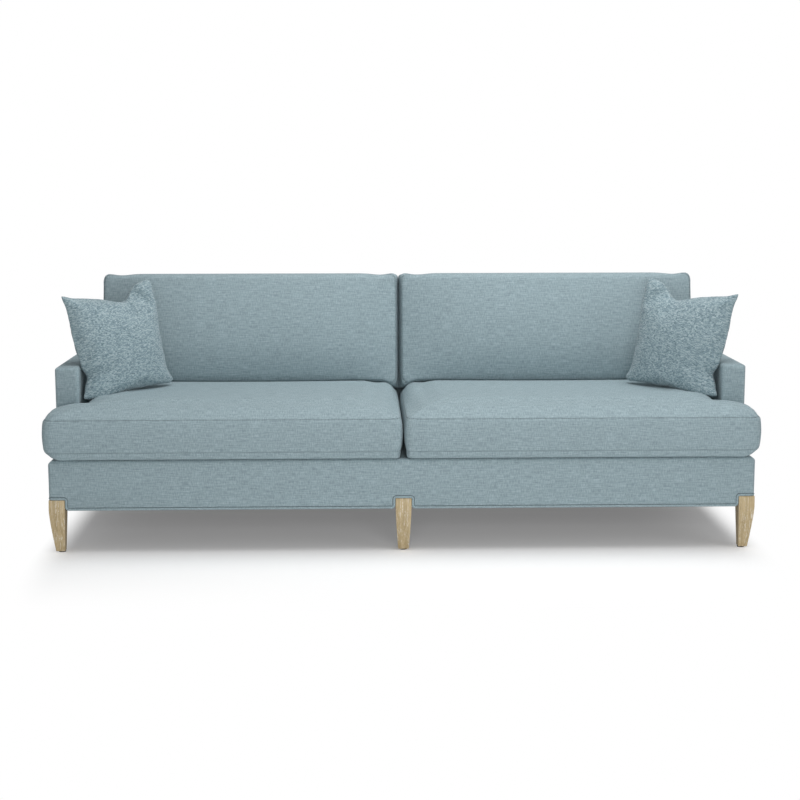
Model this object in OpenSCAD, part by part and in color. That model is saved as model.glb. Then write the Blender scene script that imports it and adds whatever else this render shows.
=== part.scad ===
// Two-seat sofa with slim track arms, T-shaped seat cushions and six tapered oak legs.
// The origin is on the floor, under the middle of the sofa. X runs along it and -Y is its front.

/* [Body] */
// Width over the base and the arms
body_w = 2406; // [1900:2:2600]
// Depth of the base, front face to back face
body_d = 912; // [880:2:1000]
// Height of the underside of the base above the floor
base_z = 149; // [120:1:200]
// Height of the base, underside to seat deck
base_h = 173; // [160:1:220]
// Thickness of the padded covers
cover_t = 8; // [6:0.5:10]
// Radius on the outer edges of the base, the arms and the back
edge_r = 14; // [10:1:15]

/* [Arms] */
// Thickness of an arm
arm_t = 82; // [70:1:110]
// Height of the arm tops above the floor
arm_z = 609; // [560:1:660]
// Distance from the front of the base to the front of the arms
arm_set = 173; // [140:1:200]

/* [Back] */
// Height of the top of the back frame above the floor
back_z = 780; // [740:1:820]
// Angle of the inside back from upright
back_rake = 13; // [9:0.5:15]
// Thickness of the back at its top
back_top_t = 87; // [70:1:110]
// Width of a back post
back_post_w = 44; // [36:1:60]
// Height of the top rail of the back
back_rail_h = 52; // [40:1:70]

/* [Frame] */
// Thickness of the rails
rail_t = 22; // [18:1:28]
// Side of the square corner posts
post_w = 60; // [54:1:66]
// Width of the centre rail
centre_rail_w = 44; // [36:1:60]
// Thickness of the wood left round a pocket of an arm frame
stud_t = 45; // [36:1:55]
// Depth of the pockets of an arm frame
pocket_d = 44; // [30:1:54]
// Longest pocket of an arm frame
pocket_run = 220; // [150:5:300]

/* [Deck] */
// Thickness of the seat webbing
web_t = 2.5; // [2:0.5:4]
// Width of a webbing strip
web_w = 80; // [60:1:90]
// Gap at each end of a webbing strip
web_gap = 0.5; // [0.3:0.1:2]
// Number of webbing strips, front to back, under each seat
web_n = 5; // [5:1:7]
// Number of webbing strips, side to side, under each seat
web_rows = 3; // [3:1:5]
// Thickness of the deck pad
deck_pad_t = 12; // [8:0.5:16]
// Thickness of the deck cloth
deck_cloth_t = 2.5; // [1.5:0.5:4]
// Depth of the covered band along the front of the deck
band_d = 45; // [35:1:60]
// Thickness of the dust cover under the base
dust_t = 1; // [0.8:0.1:2]

/* [Legs] */
// Side of a leg at its top
leg_top = 54; // [48:1:60]
// How far the outer faces of a leg lean in towards the foot
leg_out = 20; // [12:1:24]
// How far the inner faces of a leg lean in towards the foot
leg_in = 4; // [2:0.5:6]
// Width of a middle leg at its foot
leg_mid_foot = 37; // [30:1:44]
// Height of the part of a leg that stands inside the base
leg_sunk = 36; // [30:1:44]
// Diameter of the bolts of the legs
bolt_d = 8; // [6:0.5:10]
// Length of a leg bolt on each side of the joint
bolt_half = 28; // [20:1:32]
// Diameter of a glide
glide_d = 24; // [18:1:28]
// Thickness of a glide
glide_t = 4; // [3:0.5:6]
// Diameter of the pin of a glide
glide_pin_d = 5; // [4:0.5:6]
// Length of the pin of a glide
glide_pin_h = 14; // [10:1:20]

/* [Welt] */
// Diameter of the welt round the foot of the base
welt_d = 10; // [6:0.5:12]
// How far the welt stands out of the faces of the base
welt_proud = 2; // [0.5:0.5:3]
// Inner radius of the bends of the welt
welt_bend = 0.8; // [0.3:0.1:1]

/* [Seat cushions] */
// How far the seam of a seat cushion stands out over the front of the base
seat_over = 18; // [8:1:30]
// How far the side seam of a seat cushion stands out past the base
seat_side = 3; // [0:0.5:8]
// Height of the boxing of a seat cushion, seam to seam
seat_box = 106; // [90:1:130]
// Height of the crown on top of a seat cushion
seat_crown = 48; // [30:1:60]
// Height of the swell under a seat cushion
seat_under = 33; // [20:1:40]
// Gap behind a seat cushion, at the deck
seat_back_gap = 4; // [2:0.5:12]

/* [Back cushions] */
// Height of a back cushion, seam to seam
back_cushion_h = 406; // [380:1:440]
// Depth of the boxing of a back cushion
back_box = 140; // [120:1:160]
// Height of the crown on the front of a back cushion
back_crown = 42; // [30:1:55]
// Height of the swell on the rear of a back cushion
back_under = 18; // [10:1:25]
// Gap between a back cushion and an arm
back_side_gap = 9; // [4:1:20]

/* [Cushion forms] */
// How far the boxing of a cushion swells out past its seams
bulge = 6; // [3:0.5:9]
// Radius of the corners of a cushion
corner_r = 24; // [18:1:32]
// Length over which the crown of a cushion rises from its seams
crown_run = 110; // [90:1:130]
// Length over which the seat crown falls to its rear seam
crown_rear = 180; // [150:1:240]
// Length over which the underside of a cushion curls to its full depth
curl_run = 45; // [30:1:70]

/* [Pillows] */
// Width of a pillow from corner to corner
pillow_w = 370; // [340:1:420]
// Height of a pillow from corner to corner
pillow_h = 370; // [340:1:400]
// Thickness of a pillow at its middle
pillow_t = 126; // [90:1:150]
// Thickness of the seam round a pillow
pillow_seam = 3; // [2:0.5:5]
// How far the sides of a pillow are drawn in, as a share of its half width
pillow_draw = 0.07; // [0.03:0.01:0.12]
// How quickly a pillow fills out from its seam: less is quicker
pillow_rise = 0.42; // [0.35:0.01:0.5]
// Share of its thickness that a pillow loses in the chop
pillow_fold = 0.35; // [0:0.05:0.5]
// Depth of the chop in the top edge of a pillow
pillow_chop = 44; // [0:1:60]
// Place of the chop along the top edge, as a share of the half width towards the inner end
pillow_chop_at = 0.35; // [0:0.05:0.5]
// Reach of the chop towards the inner end, as a share of the half width
pillow_chop_in = 0.32; // [0.2:0.02:0.5]
// Reach of the chop towards the arm, as a share of the half width
pillow_chop_out = 0.44; // [0.2:0.02:0.6]
// Angle of a pillow from the line of the back
pillow_turn = 43; // [38:1:48]
// Angle of a pillow from upright
pillow_lean = 10.5; // [8:0.5:16]
// Angle by which a pillow rolls down towards its arm
pillow_roll = 6.5; // [0:0.5:9]
// Distance from the inner face of an arm to the middle of its pillow
pillow_arm_gap = 118; // [112:1:150]
// Distance from the front of the base to the middle of a pillow
pillow_y = 340; // [310:1:360]

/* [Clearances] */
// Clearance round a soft piece
soft_gap = 0.3; // [0.2:0.05:0.6]
// Radial clearance round a bolt or a pin
bore_gap = 0.3; // [0.2:0.05:0.5]
// Clearance between a leg and the base round it
leg_gap = 0.4; // [0.3:0.05:1]

/* [Hidden] */
FEET = ["fl", "fc", "fr", "rl", "rc", "rr"];

// How far a cutting solid runs past what it cuts
OVER = 1;

// Shades of the finishes
LINEN = [0.59, 0.66, 0.69];
OAK = [0.67, 0.61, 0.5];
PINE = [0.85, 0.72, 0.52];
STEEL = [0.72, 0.73, 0.75];
NYLON = [0.2, 0.2, 0.21];
BLACK_CLOTH = [0.16, 0.16, 0.17];
WEB = [0.45, 0.42, 0.38];
SLATE = [0.53, 0.6, 0.62];

// Half widths and the places of the main planes
hw = body_w / 2;
front_y = (seat_over + bulge - body_d - welt_proud) / 2;
back_y = front_y + body_d;
deck_z = base_z + base_h;
rail_top = deck_z - deck_cloth_t - deck_pad_t - web_t;
rail_bottom = base_z + welt_d + soft_gap;
arm_in = hw - arm_t;
arm_y = front_y + arm_set;
back_foot_t = back_top_t + (back_z - deck_z) * tan(back_rake);
inside_y = back_y - back_foot_t;
leg_z = base_z + leg_sunk;
foot_z = glide_t;
notch_w = leg_top + leg_gap + welt_d + soft_gap;
notch_z = leg_z + leg_gap + welt_d + soft_gap;
sunk_x = hw - cover_t;
span_x = sunk_x - post_w;

// A slab between two corners
module slab(a, b) {
    translate(a)
        cube(b - a);
}

// A rectangle whose four corners, or only the two far ones, are round
module round_rect(a, b, r, all_round = true) {
    low = all_round ? r : 0;
    translate([a.x + r, a.y])
        square([b.x - a.x - 2 * r, b.y - a.y]);
    translate([a.x, a.y + low])
        square([b.x - a.x, b.y - a.y - r - low]);
    for (x = [a.x + r, b.x - r])
        for (y = all_round ? [a.y + r, b.y - r] : [b.y - r])
            translate([x, y])
                circle(r, $fn = 48);
}

// A padded block: every upright edge and every top edge is round
module soft_block(a, b, r) {
    intersection() {
        translate([0, 0, a.z])
            linear_extrude(b.z - a.z)
                round_rect(a, b, r);
        translate([0, b.y, 0])
            rotate([90, 0, 0])
                linear_extrude(b.y - a.y)
                    round_rect([a.x, a.z], [b.x, b.z], r, false);
        translate([a.x, 0, 0])
            rotate([90, 0, 90])
                linear_extrude(b.x - a.x)
                    round_rect([a.y, a.z], [b.y, b.z], r, false);
    }
}

// The base frame

// Room for the head of a centre leg
module centre_notch(y_sign) {
    y = y_sign < 0 ? front_y : back_y;
    half = leg_top / 2 + leg_gap;
    slab([-half, min(y, y - y_sign * 2 * half), base_z], [half, max(y, y - y_sign * 2 * half), leg_z + leg_gap]);
}

// Bolt place of a foot: the middle foot's bolt stands in the centre rail
function corner(name) = [name[1] == "l" ? -1 : name[1] == "r" ? 1 : 0, name[0] == "f" ? -1 : 1];
function face_y(name) = corner(name).y < 0 ? front_y : back_y;
bolt_in = (cover_t + post_w / 2 + leg_top / 2) / 2;
centre_bolt_in = leg_top - cover_t - bolt_d;
function bolt_at(name) = [corner(name).x * (hw - bolt_in),
    face_y(name) - corner(name).y * (corner(name).x == 0 ? centre_bolt_in : bolt_in)];

module bolt_hole(name) {
    translate([bolt_at(name).x, bolt_at(name).y, leg_z - bolt_half])
        cylinder(h = 2 * bolt_half, d = bolt_d + 2 * bore_gap, $fn = 32);
}

module end_rail(y) {
    difference() {
        slab([-span_x, y, rail_bottom], [span_x, y + rail_t, rail_top]);
        for (s = [-1, 1])
            centre_notch(s);
    }
}

module front_rail() {
    color(PINE)
        end_rail(front_y + cover_t);
}

module back_rail() {
    color(PINE)
        end_rail(back_y - cover_t - rail_t);
}

module side_rail_l() {
    color(PINE)
        difference() {
            union() {
                slab([-sunk_x, front_y + cover_t + post_w, rail_bottom],
                    [-sunk_x + rail_t, back_y - cover_t - post_w, rail_top]);
                slab([-sunk_x, front_y + cover_t, leg_z + leg_gap],
                    [-span_x, front_y + cover_t + post_w, rail_top]);
                slab([-sunk_x, back_y - cover_t - post_w, leg_z + leg_gap],
                    [-span_x, back_y - cover_t, rail_top]);
            }
            bolt_hole("fl");
            bolt_hole("rl");
        }
}

module side_rail_r() {
    mirror([1, 0, 0])
        side_rail_l();
}

module centre_rail() {
    color(PINE)
        difference() {
            slab([-centre_rail_w / 2, front_y + cover_t + rail_t, leg_z + leg_gap],
                [centre_rail_w / 2, back_y - cover_t - rail_t, rail_top]);
            bolt_hole("fc");
            bolt_hole("rc");
        }
}

// Legs, bolts and glides

// One side of a leg's outline, from the shoulder down to the foot
function taper(lean, steps = 6) = [for (i = [0:steps]) let (t = i / steps)
    [lean * pow(t, 1.25), base_z - (base_z - foot_z) * t]];

// A leg's outline across: how far each side leans in towards the foot
module leg_outline(width, lean_a, lean_b) {
    left = [for (p = taper(lean_a)) [p.x, p.y]];
    right = [for (p = taper(lean_b)) [width - p.x, p.y]];
    count = len(right);
    polygon(concat([[width, leg_z], [0, leg_z]], left, [for (i = [1:count]) right[count - i]]));
}

module leg(name) {
    cx = corner(name).x;
    outer_x = cx == 0 ? -leg_top / 2 : -hw;
    width_lean = cx == 0 ? [(leg_top - leg_mid_foot) / 2, (leg_top - leg_mid_foot) / 2] : [leg_out, leg_in];
    color(OAK)
        difference() {
            mirror([cx > 0 ? 1 : 0, 0, 0])
                mirror([0, corner(name).y > 0 ? 1 : 0, 0])
                    translate([outer_x, -abs(face_y(name)), 0])
                        leg_body(width_lean);
            bolt_hole(name);
            glide_hole(name);
        }
}

module leg_body(width_lean) {
    intersection() {
        translate([0, leg_top, 0])
            rotate([90, 0, 0])
                linear_extrude(leg_top)
                    leg_outline(leg_top, width_lean[0], width_lean[1]);
        rotate([90, 0, 90])
            linear_extrude(leg_top)
                leg_outline(leg_top, leg_out, leg_in);
    }
}

// Middle of a leg's foot
foot_in = (leg_top + leg_out - leg_in) / 2;
function foot_at(name) = [corner(name).x * (hw - foot_in), face_y(name) - corner(name).y * foot_in];

module glide_hole(name) {
    translate([foot_at(name).x, foot_at(name).y, foot_z - 1])
        cylinder(h = glide_pin_h + OVER + bore_gap, d = glide_pin_d + 2 * bore_gap, $fn = 32);
}

module leg_bolt(name) {
    color(STEEL)
        translate([bolt_at(name).x, bolt_at(name).y, leg_z - bolt_half])
            cylinder(h = 2 * bolt_half, d = bolt_d, $fn = 32);
}

module glide(name) {
    color(NYLON)
        translate([foot_at(name).x, foot_at(name).y, 0]) {
            cylinder(h = glide_t, d = glide_d, $fn = 48);
            cylinder(h = glide_t + glide_pin_h, d = glide_pin_d, $fn = 32);
        }
}

// The seat deck

web_from = centre_rail_w / 2;
web_pitch = (arm_in - web_from) / web_n;
web_len = inside_y - front_y - cover_t;

module seat_webbing_r() {
    row_pitch = web_len / web_rows;
    color(WEB)
        translate([0, front_y + cover_t, rail_top])
            linear_extrude(web_t) {
                for (i = [0:web_n - 1])
                    translate([web_from + (i + 0.5) * web_pitch - web_w / 2, 0])
                        square([web_w, body_d - 2 * cover_t]);
                for (j = [0:web_rows])
                    translate([web_gap, j == 0 ? 0 : j * row_pitch])
                        square([sunk_x - 2 * web_gap, web_w]);
            }
}

module seat_webbing_l() {
    mirror([1, 0, 0])
        seat_webbing_r();
}

// Outline of the deck, between the front band and the inside back
module deck_layer(z, t) {
    slab([-arm_in - cover_t + soft_gap, front_y + band_d + soft_gap, z],
        [arm_in + cover_t - soft_gap, inside_y - soft_gap, z + t]);
}

module deck_pad() {
    color(BLACK_CLOTH)
        deck_layer(rail_top + web_t, deck_pad_t);
}

module deck_cloth() {
    color(LINEN)
        deck_layer(rail_top + web_t + deck_pad_t, deck_cloth_t);
}

module dust_cover() {
    inset = welt_d - welt_proud + soft_gap;
    color(BLACK_CLOTH)
        difference() {
            slab([-hw + inset, front_y + inset, rail_bottom - dust_t],
                [hw - inset, back_y - inset, rail_bottom]);
            for (name = FEET)
                foot_pocket(name, notch_w, rail_bottom);
        }
}

// The padded covers of the base

// Room for the head of a leg and the welt round it
module foot_pocket(name, notch, top) {
    side = corner(name);
    x0 = side.x == 0 ? -notch + leg_top / 2 : -hw - 1;
    x1 = side.x == 0 ? notch - leg_top / 2 : -hw + notch;
    mirror([side.x > 0 ? 1 : 0, 0, 0])
        mirror([0, side.y > 0 ? 1 : 0, 0])
            slab([x0, -abs(face_y(name)) - OVER, base_z - OVER], [x1, -abs(face_y(name)) + notch, top + welt_d]);
}

// The base wrapped in its cover, before it is cut into panels
module base_shell() {
    difference() {
        soft_block([-hw, front_y, rail_bottom], [hw, back_y, deck_z], edge_r);
        slab([-sunk_x, front_y + cover_t, 0], [sunk_x, back_y - cover_t, rail_top + web_t]);
        slab([-arm_in - cover_t, front_y + band_d, 0], [arm_in + cover_t, back_y - cover_t, deck_z + OVER]);
        slab([-sunk_x, arm_y + cover_t, 0], [sunk_x, back_y - cover_t, deck_z + OVER]);
        for (name = FEET)
            foot_pocket(name, notch_w, notch_z - welt_d);
    }
}

module base_cover_front() {
    color(LINEN)
        intersection() {
            base_shell();
            union() {
                slab([-hw, front_y, 0], [hw, front_y + cover_t + post_w, deck_z]);
                slab([-sunk_x, front_y, rail_top], [sunk_x, arm_y + cover_t, deck_z]);
            }
        }
}

module base_cover_back() {
    color(LINEN)
        intersection() {
            base_shell();
            slab([-hw, back_y - cover_t, 0], [hw, back_y, deck_z]);
        }
}

module base_cover_l() {
    color(LINEN)
        intersection() {
            base_shell();
            slab([-hw, front_y + cover_t + post_w, 0], [-sunk_x, back_y - cover_t, deck_z]);
        }
}

module base_cover_r() {
    mirror([1, 0, 0])
        base_cover_l();
}

// The welt round the foot of the base

// A bend at b on the way from a to c, as points on an arc
function bend(a, b, c, r, steps = 4) = let (
    u = (a - b) / norm(a - b),
    v = (c - b) / norm(c - b),
    mid = b + r * (u + v))
    [for (i = [0:steps]) let (t = 90 * i / steps) mid - r * (u * sin(t) + v * cos(t))];

// A route whose corners, all square, are bent to radius r
function route(p, r) = concat([p[0]],
    [for (i = [1:len(p) - 2]) each bend(p[i - 1], p[i], p[i + 1], r)],
    [p[len(p) - 1]]);

// A round cord along a flat route: route points are along X and Z, at y = 0
module cord(points, r, sides = 8) {
    n = len(points);
    rings = [for (i = [0:n - 1]) let (
        d = points[min(i + 1, n - 1)] - points[max(i - 1, 0)],
        t = d / norm(d))
        each [for (k = [0:sides - 1]) let (a = 360 * k / sides)
            [points[i].x - t.y * r * sin(a), r * cos(a), points[i].y + t.x * r * sin(a)]]];
    walls = [for (i = [0:n - 2]) for (k = [0:sides - 1]) let (
        a = i * sides + k,
        b = i * sides + (k + 1) % sides)
        each [[a, b + sides, b], [a, a + sides, b + sides]]];
    first = [for (k = [0:sides - 1]) k];
    last = [for (k = [0:sides - 1]) n * sides - 1 - k];
    polyhedron(rings, concat(walls, [first, last]), convexity = 6);
}

cord_r = welt_d / 2;
welt_low = base_z + cord_r;
welt_high = notch_z - soft_gap - cord_r;
welt_side = notch_w - soft_gap - cord_r;
welt_path_r = welt_bend + cord_r;
welt_face = welt_proud - cord_r;

// Half of a long welt, from the middle notch out to the end of the sofa
function welt_half() = [
    [0, welt_high], [welt_side - leg_top / 2, welt_high], [welt_side - leg_top / 2, welt_low],
    [hw - welt_side, welt_low], [hw - welt_side, welt_high], [hw + welt_proud, welt_high]];
function welt_long() = let (half = welt_half()) concat(
    [for (i = [0:len(half) - 2]) let (p = half[len(half) - 1 - i]) [-p.x, p.y]],
    [for (i = [1:len(half) - 1]) half[i]]);

module welt_front() {
    color(LINEN)
        translate([0, front_y - welt_face, 0])
            cord(route(welt_long(), welt_path_r), cord_r);
}

module welt_back() {
    color(LINEN)
        translate([0, back_y + welt_face, 0])
            cord(route(welt_long(), welt_path_r), cord_r);
}

module welt_r() {
    y0 = front_y - welt_proud + welt_d + soft_gap;
    y1 = back_y + welt_proud - welt_d - soft_gap;
    line = [[y0, welt_high], [front_y + welt_side, welt_high], [front_y + welt_side, welt_low],
        [back_y - welt_side, welt_low], [back_y - welt_side, welt_high], [y1, welt_high]];
    color(LINEN)
        translate([hw + welt_face, 0, 0])
            rotate([0, 0, 90])
                cord(route(line, welt_path_r), cord_r);
}

module welt_l() {
    mirror([1, 0, 0])
        welt_r();
}

// The back

// Depth of the inside back at a height above the floor
function inside_at(z) = inside_y + (z - deck_z) * tan(back_rake);

// Points on an arc round mid, from one angle to another
function arc(mid, r, from, to, steps = 6) =
    [for (i = [0:steps]) let (a = from + (to - from) * i / steps) mid + r * [cos(a), sin(a)]];

// Side view of the back. Its face is moved in by t, and its top corners have radius r
module back_outline(t, foot, r) {
    top = back_z - t;
    low = [inside_at(foot) + t / cos(back_rake), foot];
    peak = [inside_at(top) + t / cos(back_rake), top];
    rear = back_y - t;
    reach = r * tan((90 - back_rake) / 2);
    front_top = r > 0 ? arc(peak + [reach, -r], r, 180 - back_rake, 90) : [peak];
    rear_top = r > 0 ? arc([rear - r, top - r], r, 90, 0) : [[rear, top]];
    polygon(concat([low], front_top, rear_top, [[rear, foot]]));
}

module back_solid(t, foot, half) {
    translate([-half, 0, 0])
        rotate([90, 0, 90])
            linear_extrude(2 * half)
                back_outline(t, foot, t > 0 ? 0 : edge_r);
}

// The space inside the covers of the back
module back_core() {
    back_solid(cover_t, rail_top + web_t, sunk_x);
}

module back_block() {
    intersection() {
        back_solid(0, deck_z, hw);
        translate([0, back_y + OVER, 0])
            rotate([90, 0, 0])
                linear_extrude(body_d)
                    round_rect([-hw, 0], [hw, back_z], edge_r, false);
    }
}

module inside_back_cover() {
    color(LINEN)
        intersection() {
            difference() {
                back_block();
                back_core();
            }
            slab([-sunk_x, front_y, 0], [sunk_x, back_y - cover_t, back_z]);
        }
}

module outside_back_cover() {
    color(LINEN)
        intersection() {
            back_block();
            slab([-hw, back_y - cover_t, deck_z], [hw, back_y, back_z]);
        }
}

module back_end_cover_l() {
    color(LINEN)
        intersection() {
            back_block();
            slab([-hw, front_y, deck_z], [-sunk_x, back_y - cover_t, back_z]);
        }
}

module back_end_cover_r() {
    mirror([1, 0, 0])
        back_end_cover_l();
}

rail_low = back_z - cover_t - back_rail_h;

module back_top_rail() {
    color(PINE)
        intersection() {
            back_core();
            slab([-sunk_x, front_y, rail_low], [sunk_x, back_y, back_z]);
        }
}

module back_post(x) {
    color(PINE)
        intersection() {
            back_core();
            slab([x - back_post_w / 2, front_y, rail_top + web_t], [x + back_post_w / 2, back_y, rail_low]);
        }
}

module back_post_l() {
    back_post(-sunk_x + back_post_w / 2);
}

module back_post_c() {
    back_post(0);
}

module back_post_r() {
    back_post(sunk_x - back_post_w / 2);
}

// The arms, built on the left and mirrored

module arm_block() {
    difference() {
        soft_block([-hw, arm_y, deck_z], [-arm_in, back_y - edge_r, arm_z], edge_r);
        back_room();
    }
}

// Everything behind the face of the inside back
module back_room() {
    translate([-hw - OVER, 0, 0])
        rotate([90, 0, 90])
            linear_extrude(body_w + 2)
                polygon([[inside_at(0), 0], [inside_at(2 * back_z), 2 * back_z], [back_y + back_z, 2 * back_z],
                    [back_y + back_z, 0]]);
}

module arm_core() {
    slab([-sunk_x, arm_y + cover_t, rail_top + web_t], [-arm_in - cover_t, back_y, arm_z - cover_t]);
}

module arm_frame_l() {
    low = rail_top + web_t + stud_t;
    high = arm_z - cover_t - stud_t;
    from = arm_y + cover_t + stud_t;
    room = inside_at(low) - stud_t - from;
    pockets = ceil(room / pocket_run);
    pocket = (room + stud_t) / pockets;
    color(PINE)
        difference() {
            arm_core();
            back_room();
            for (i = [0:pockets - 1])
                slab([-sunk_x - OVER, from + i * pocket, low],
                    [-sunk_x + pocket_d, from + (i + 1) * pocket - stud_t, high]);
        }
}

module arm_frame_r() {
    mirror([1, 0, 0])
        arm_frame_l();
}

module arm_panel(a, b) {
    color(LINEN)
        intersection() {
            difference() {
                arm_block();
                arm_core();
            }
            slab(a, b);
        }
}

module arm_cover_front_l() {
    arm_panel([-hw, arm_y, deck_z], [-arm_in, arm_y + cover_t, arm_z]);
}

module arm_cover_outer_l() {
    arm_panel([-hw, arm_y + cover_t, deck_z], [-sunk_x, back_y, arm_z]);
}

module arm_cover_inner_l() {
    arm_panel([-sunk_x, arm_y + cover_t, deck_z], [-arm_in, back_y, arm_z]);
}

module arm_cover_front_r() {
    mirror([1, 0, 0])
        arm_cover_front_l();
}

module arm_cover_outer_r() {
    mirror([1, 0, 0])
        arm_cover_outer_l();
}

module arm_cover_inner_r() {
    mirror([1, 0, 0])
        arm_cover_inner_l();
}

// Soft forms
// A cushion is two panels of grid points joined round their edge by a swelling strip.
// The grid may leave out a corner: cells right of column im are kept only in front of row je.

// How far a crown has risen, as a share, at distance d from its seam
function rise(d, run) = d <= 0 ? 0 : 1 - pow(1 - min(d / run, 1), 2.5);

// Crown of an oblong from a to b: far is the run at its far edge
function dome(p, a, b, run, far) =
    rise(p.x - a.x, run) * rise(b.x - p.x, run) * rise(p.y - a.y, run) * rise(b.y - p.y, far);

// How far an underside has curled, as a share, at distance d from its seam
function curl(d) = d <= 0 ? 0 : sqrt(1 - pow(1 - min(d / curl_run, 1), 2));

// Underside of an oblong from a to b
function belly(p, a, b) = curl(p.x - a.x) * curl(b.x - p.x) * curl(p.y - a.y) * curl(b.y - p.y);

// Order of the grid points round the edge, as [column, row]
function edge_loop(nx, ny, im, je) = concat(
    [for (i = [0:nx - 2]) [i, 0]],
    [for (j = [0:1:je - 1]) [nx - 1, j]],
    [for (i = [0:1:nx - 2 - im]) [nx - 1 - i, je]],
    [for (j = [0:1:ny - 2 - je]) [im, je + j]],
    [for (i = [0:im - 1]) [im - i, ny - 1]],
    [for (j = [0:ny - 2]) [0, ny - 1 - j]]);

// Points round the edge, moved outwards by d at height z
function swell(base, d, z) = let (n = len(base)) [for (k = [0:n - 1]) let (
    way = base[(k + 1) % n] - base[(k + n - 1) % n],
    out = [way.y, -way.x] / norm(way))
    [base[k].x + d * out.x, base[k].y + d * out.y, z]];

// A closed soft solid: top and bottom are grids of points, rings run round it from top to bottom
module soft_solid(top, bottom, rings, nx, ny, im, je) {
    loop = edge_loop(nx, ny, im, je);
    size = nx * ny;
    count = len(loop);
    levels = len(rings);
    function at(level, k) = let (c = loop[k % count], flat = c.y * nx + c.x)
        level == 0 ? flat : level > levels ? size + flat : 2 * size + (level - 1) * count + k % count;
    panels = [for (j = [0:ny - 2]) for (i = [0:nx - 2]) if (i < im || j < je) let (
        a = j * nx + i,
        b = a + 1,
        d = a + nx,
        c = d + 1)
        each [[a, d, c], [a, c, b], [size + a, size + b, size + c], [size + a, size + c, size + d]]];
    strip = [for (level = [0:levels]) for (k = [0:count - 1])
        each [[at(level, k), at(level, k + 1), at(level + 1, k + 1)],
            [at(level, k), at(level + 1, k + 1), at(level + 1, k)]]];
    polyhedron(concat(top, bottom, [for (r = rings) each r]), concat(panels, strip), convexity = 8);
}

// Grid lines between a and b: close together near both ends, even between
function lines(a, b, near, n, far = undef) = let (
    back = is_undef(far) ? near : far,
    from = a + near[len(near) - 1],
    to = b - back[len(back) - 1])
    concat([for (d = near) a + d], [for (i = [1:1:n - 1]) from + (to - from) * i / n],
        [for (i = [1:len(back)]) b - back[len(back) - i]]);

// Share of corner_r by which the outward corners of a cushion are drawn in
CORNER_PULL = 0.3;

// Grid points seen from above, with the outward corners drawn in
function plan(xs, ys, im, je) = let (nx = len(xs), ny = len(ys), p = CORNER_PULL * corner_r)
    [for (j = [0:ny - 1]) for (i = [0:nx - 1]) let (
        left = i == 0 && (j == 0 || j == ny - 1),
        right = (i == nx - 1 && (j == 0 || j == je)) || (i == im && j == ny - 1),
        up = j == 0 ? 1 : -1)
        [xs[i] + (left ? p : right ? -p : 0), ys[j] + (left || right ? up * p : 0)]];

STEPS = [0.2, 0.5, 0.8];
function pout(t) = bulge * (1 - pow(2 * t - 1, 2)) / (1 - pow(2 * STEPS[1] - 1, 2));

// A boxed cushion with its lower seam at height 0
module boxed(xs, ys, im, je, box, crown, under, far) {
    nx = len(xs);
    ny = len(ys);
    flat = plan(xs, ys, im, je);
    body = [[xs[0], ys[0]], [xs[im], ys[ny - 1]]];
    bar = [[xs[0], ys[0]], [xs[nx - 1], ys[je]]];
    height = [for (j = [0:ny - 1]) for (i = [0:nx - 1]) let (p = [xs[i], ys[j]])
        max(dome(p, body[0], body[1], crown_run, far),
            je < ny - 1 ? dome(p, bar[0], bar[1], crown_run, crown_run) : 0)];
    depth = [for (j = [0:ny - 1]) for (i = [0:nx - 1]) let (p = [xs[i], ys[j]])
        max(belly(p, body[0], body[1]), je < ny - 1 ? belly(p, bar[0], bar[1]) : 0)];
    top = [for (k = [0:nx * ny - 1]) [flat[k].x, flat[k].y, box + crown * height[k]]];
    bottom = [for (k = [0:nx * ny - 1]) [flat[k].x, flat[k].y, -under * depth[k]]];
    edge = [for (c = edge_loop(nx, ny, im, je)) flat[c.y * nx + c.x]];
    soft_solid(top, bottom, [for (t = STEPS) swell(edge, pout(t), box * (1 - t))], nx, ny, im, je);
}

// Seat cushions: the main part lies between the arms, and an ear wraps round the front of an arm

seat_in = bulge + soft_gap;
seat_main = arm_in - bulge - soft_gap;
seat_ear = hw + seat_side;
seat_front = front_y - seat_over;
ear_back = arm_y - bulge - soft_gap;
seat_rear = inside_y - seat_back_gap - bulge;
seat_z = deck_z + soft_gap + seat_under;

// Distances of a cushion's grid lines from its seams, and from the rear edge of a seat
EASE = 58;
NEAR = [0, corner_r, EASE];
REAR = [0, corner_r, 66, 120, crown_rear];

seat_xs = concat(lines(seat_in, seat_main, concat(NEAR, [crown_run]), 6), [(seat_main + seat_ear) / 2,
    seat_ear - corner_r, seat_ear]);
seat_ys = concat(lines(seat_front, ear_back, NEAR, 1), [ear_back + corner_r],
    lines(ear_back + EASE, seat_rear, [0], 4, REAR));
seat_im = len(seat_xs) - 4;
seat_je = len(lines(seat_front, ear_back, NEAR, 1)) - 1;

module seat_cushion_r() {
    color(LINEN)
        translate([0, 0, seat_z])
            boxed(seat_xs, seat_ys, seat_im, seat_je, seat_box, seat_crown, seat_under, crown_rear);
}

module seat_cushion_l() {
    mirror([1, 0, 0])
        seat_cushion_r();
}

// Height of the top of a seat cushion between the arms: it is straight between the lines of its grid
seat_rise_x = [for (x = seat_xs) [x, rise(x - seat_in, crown_run) * rise(seat_main - x, crown_run)]];
seat_rise_y = [for (y = seat_ys) [y, rise(y - seat_front, crown_run) * rise(seat_rear - y, crown_rear)]];
function seat_top(x, y) = seat_z + seat_box + seat_crown * lookup(x, seat_rise_x) * lookup(y, seat_rise_y);
seat_mid = (seat_in + seat_main) / 2;
seat_profile = [for (y = seat_ys) [y, seat_top(seat_mid, y)]];

// Back cushions lean on the inside back and stand on the seat cushions

back_in = bulge + soft_gap;
back_out = arm_in - back_side_gap - bulge;
up = [sin(back_rake), cos(back_rake)];
ahead = [-cos(back_rake), sin(back_rake)];

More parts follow.
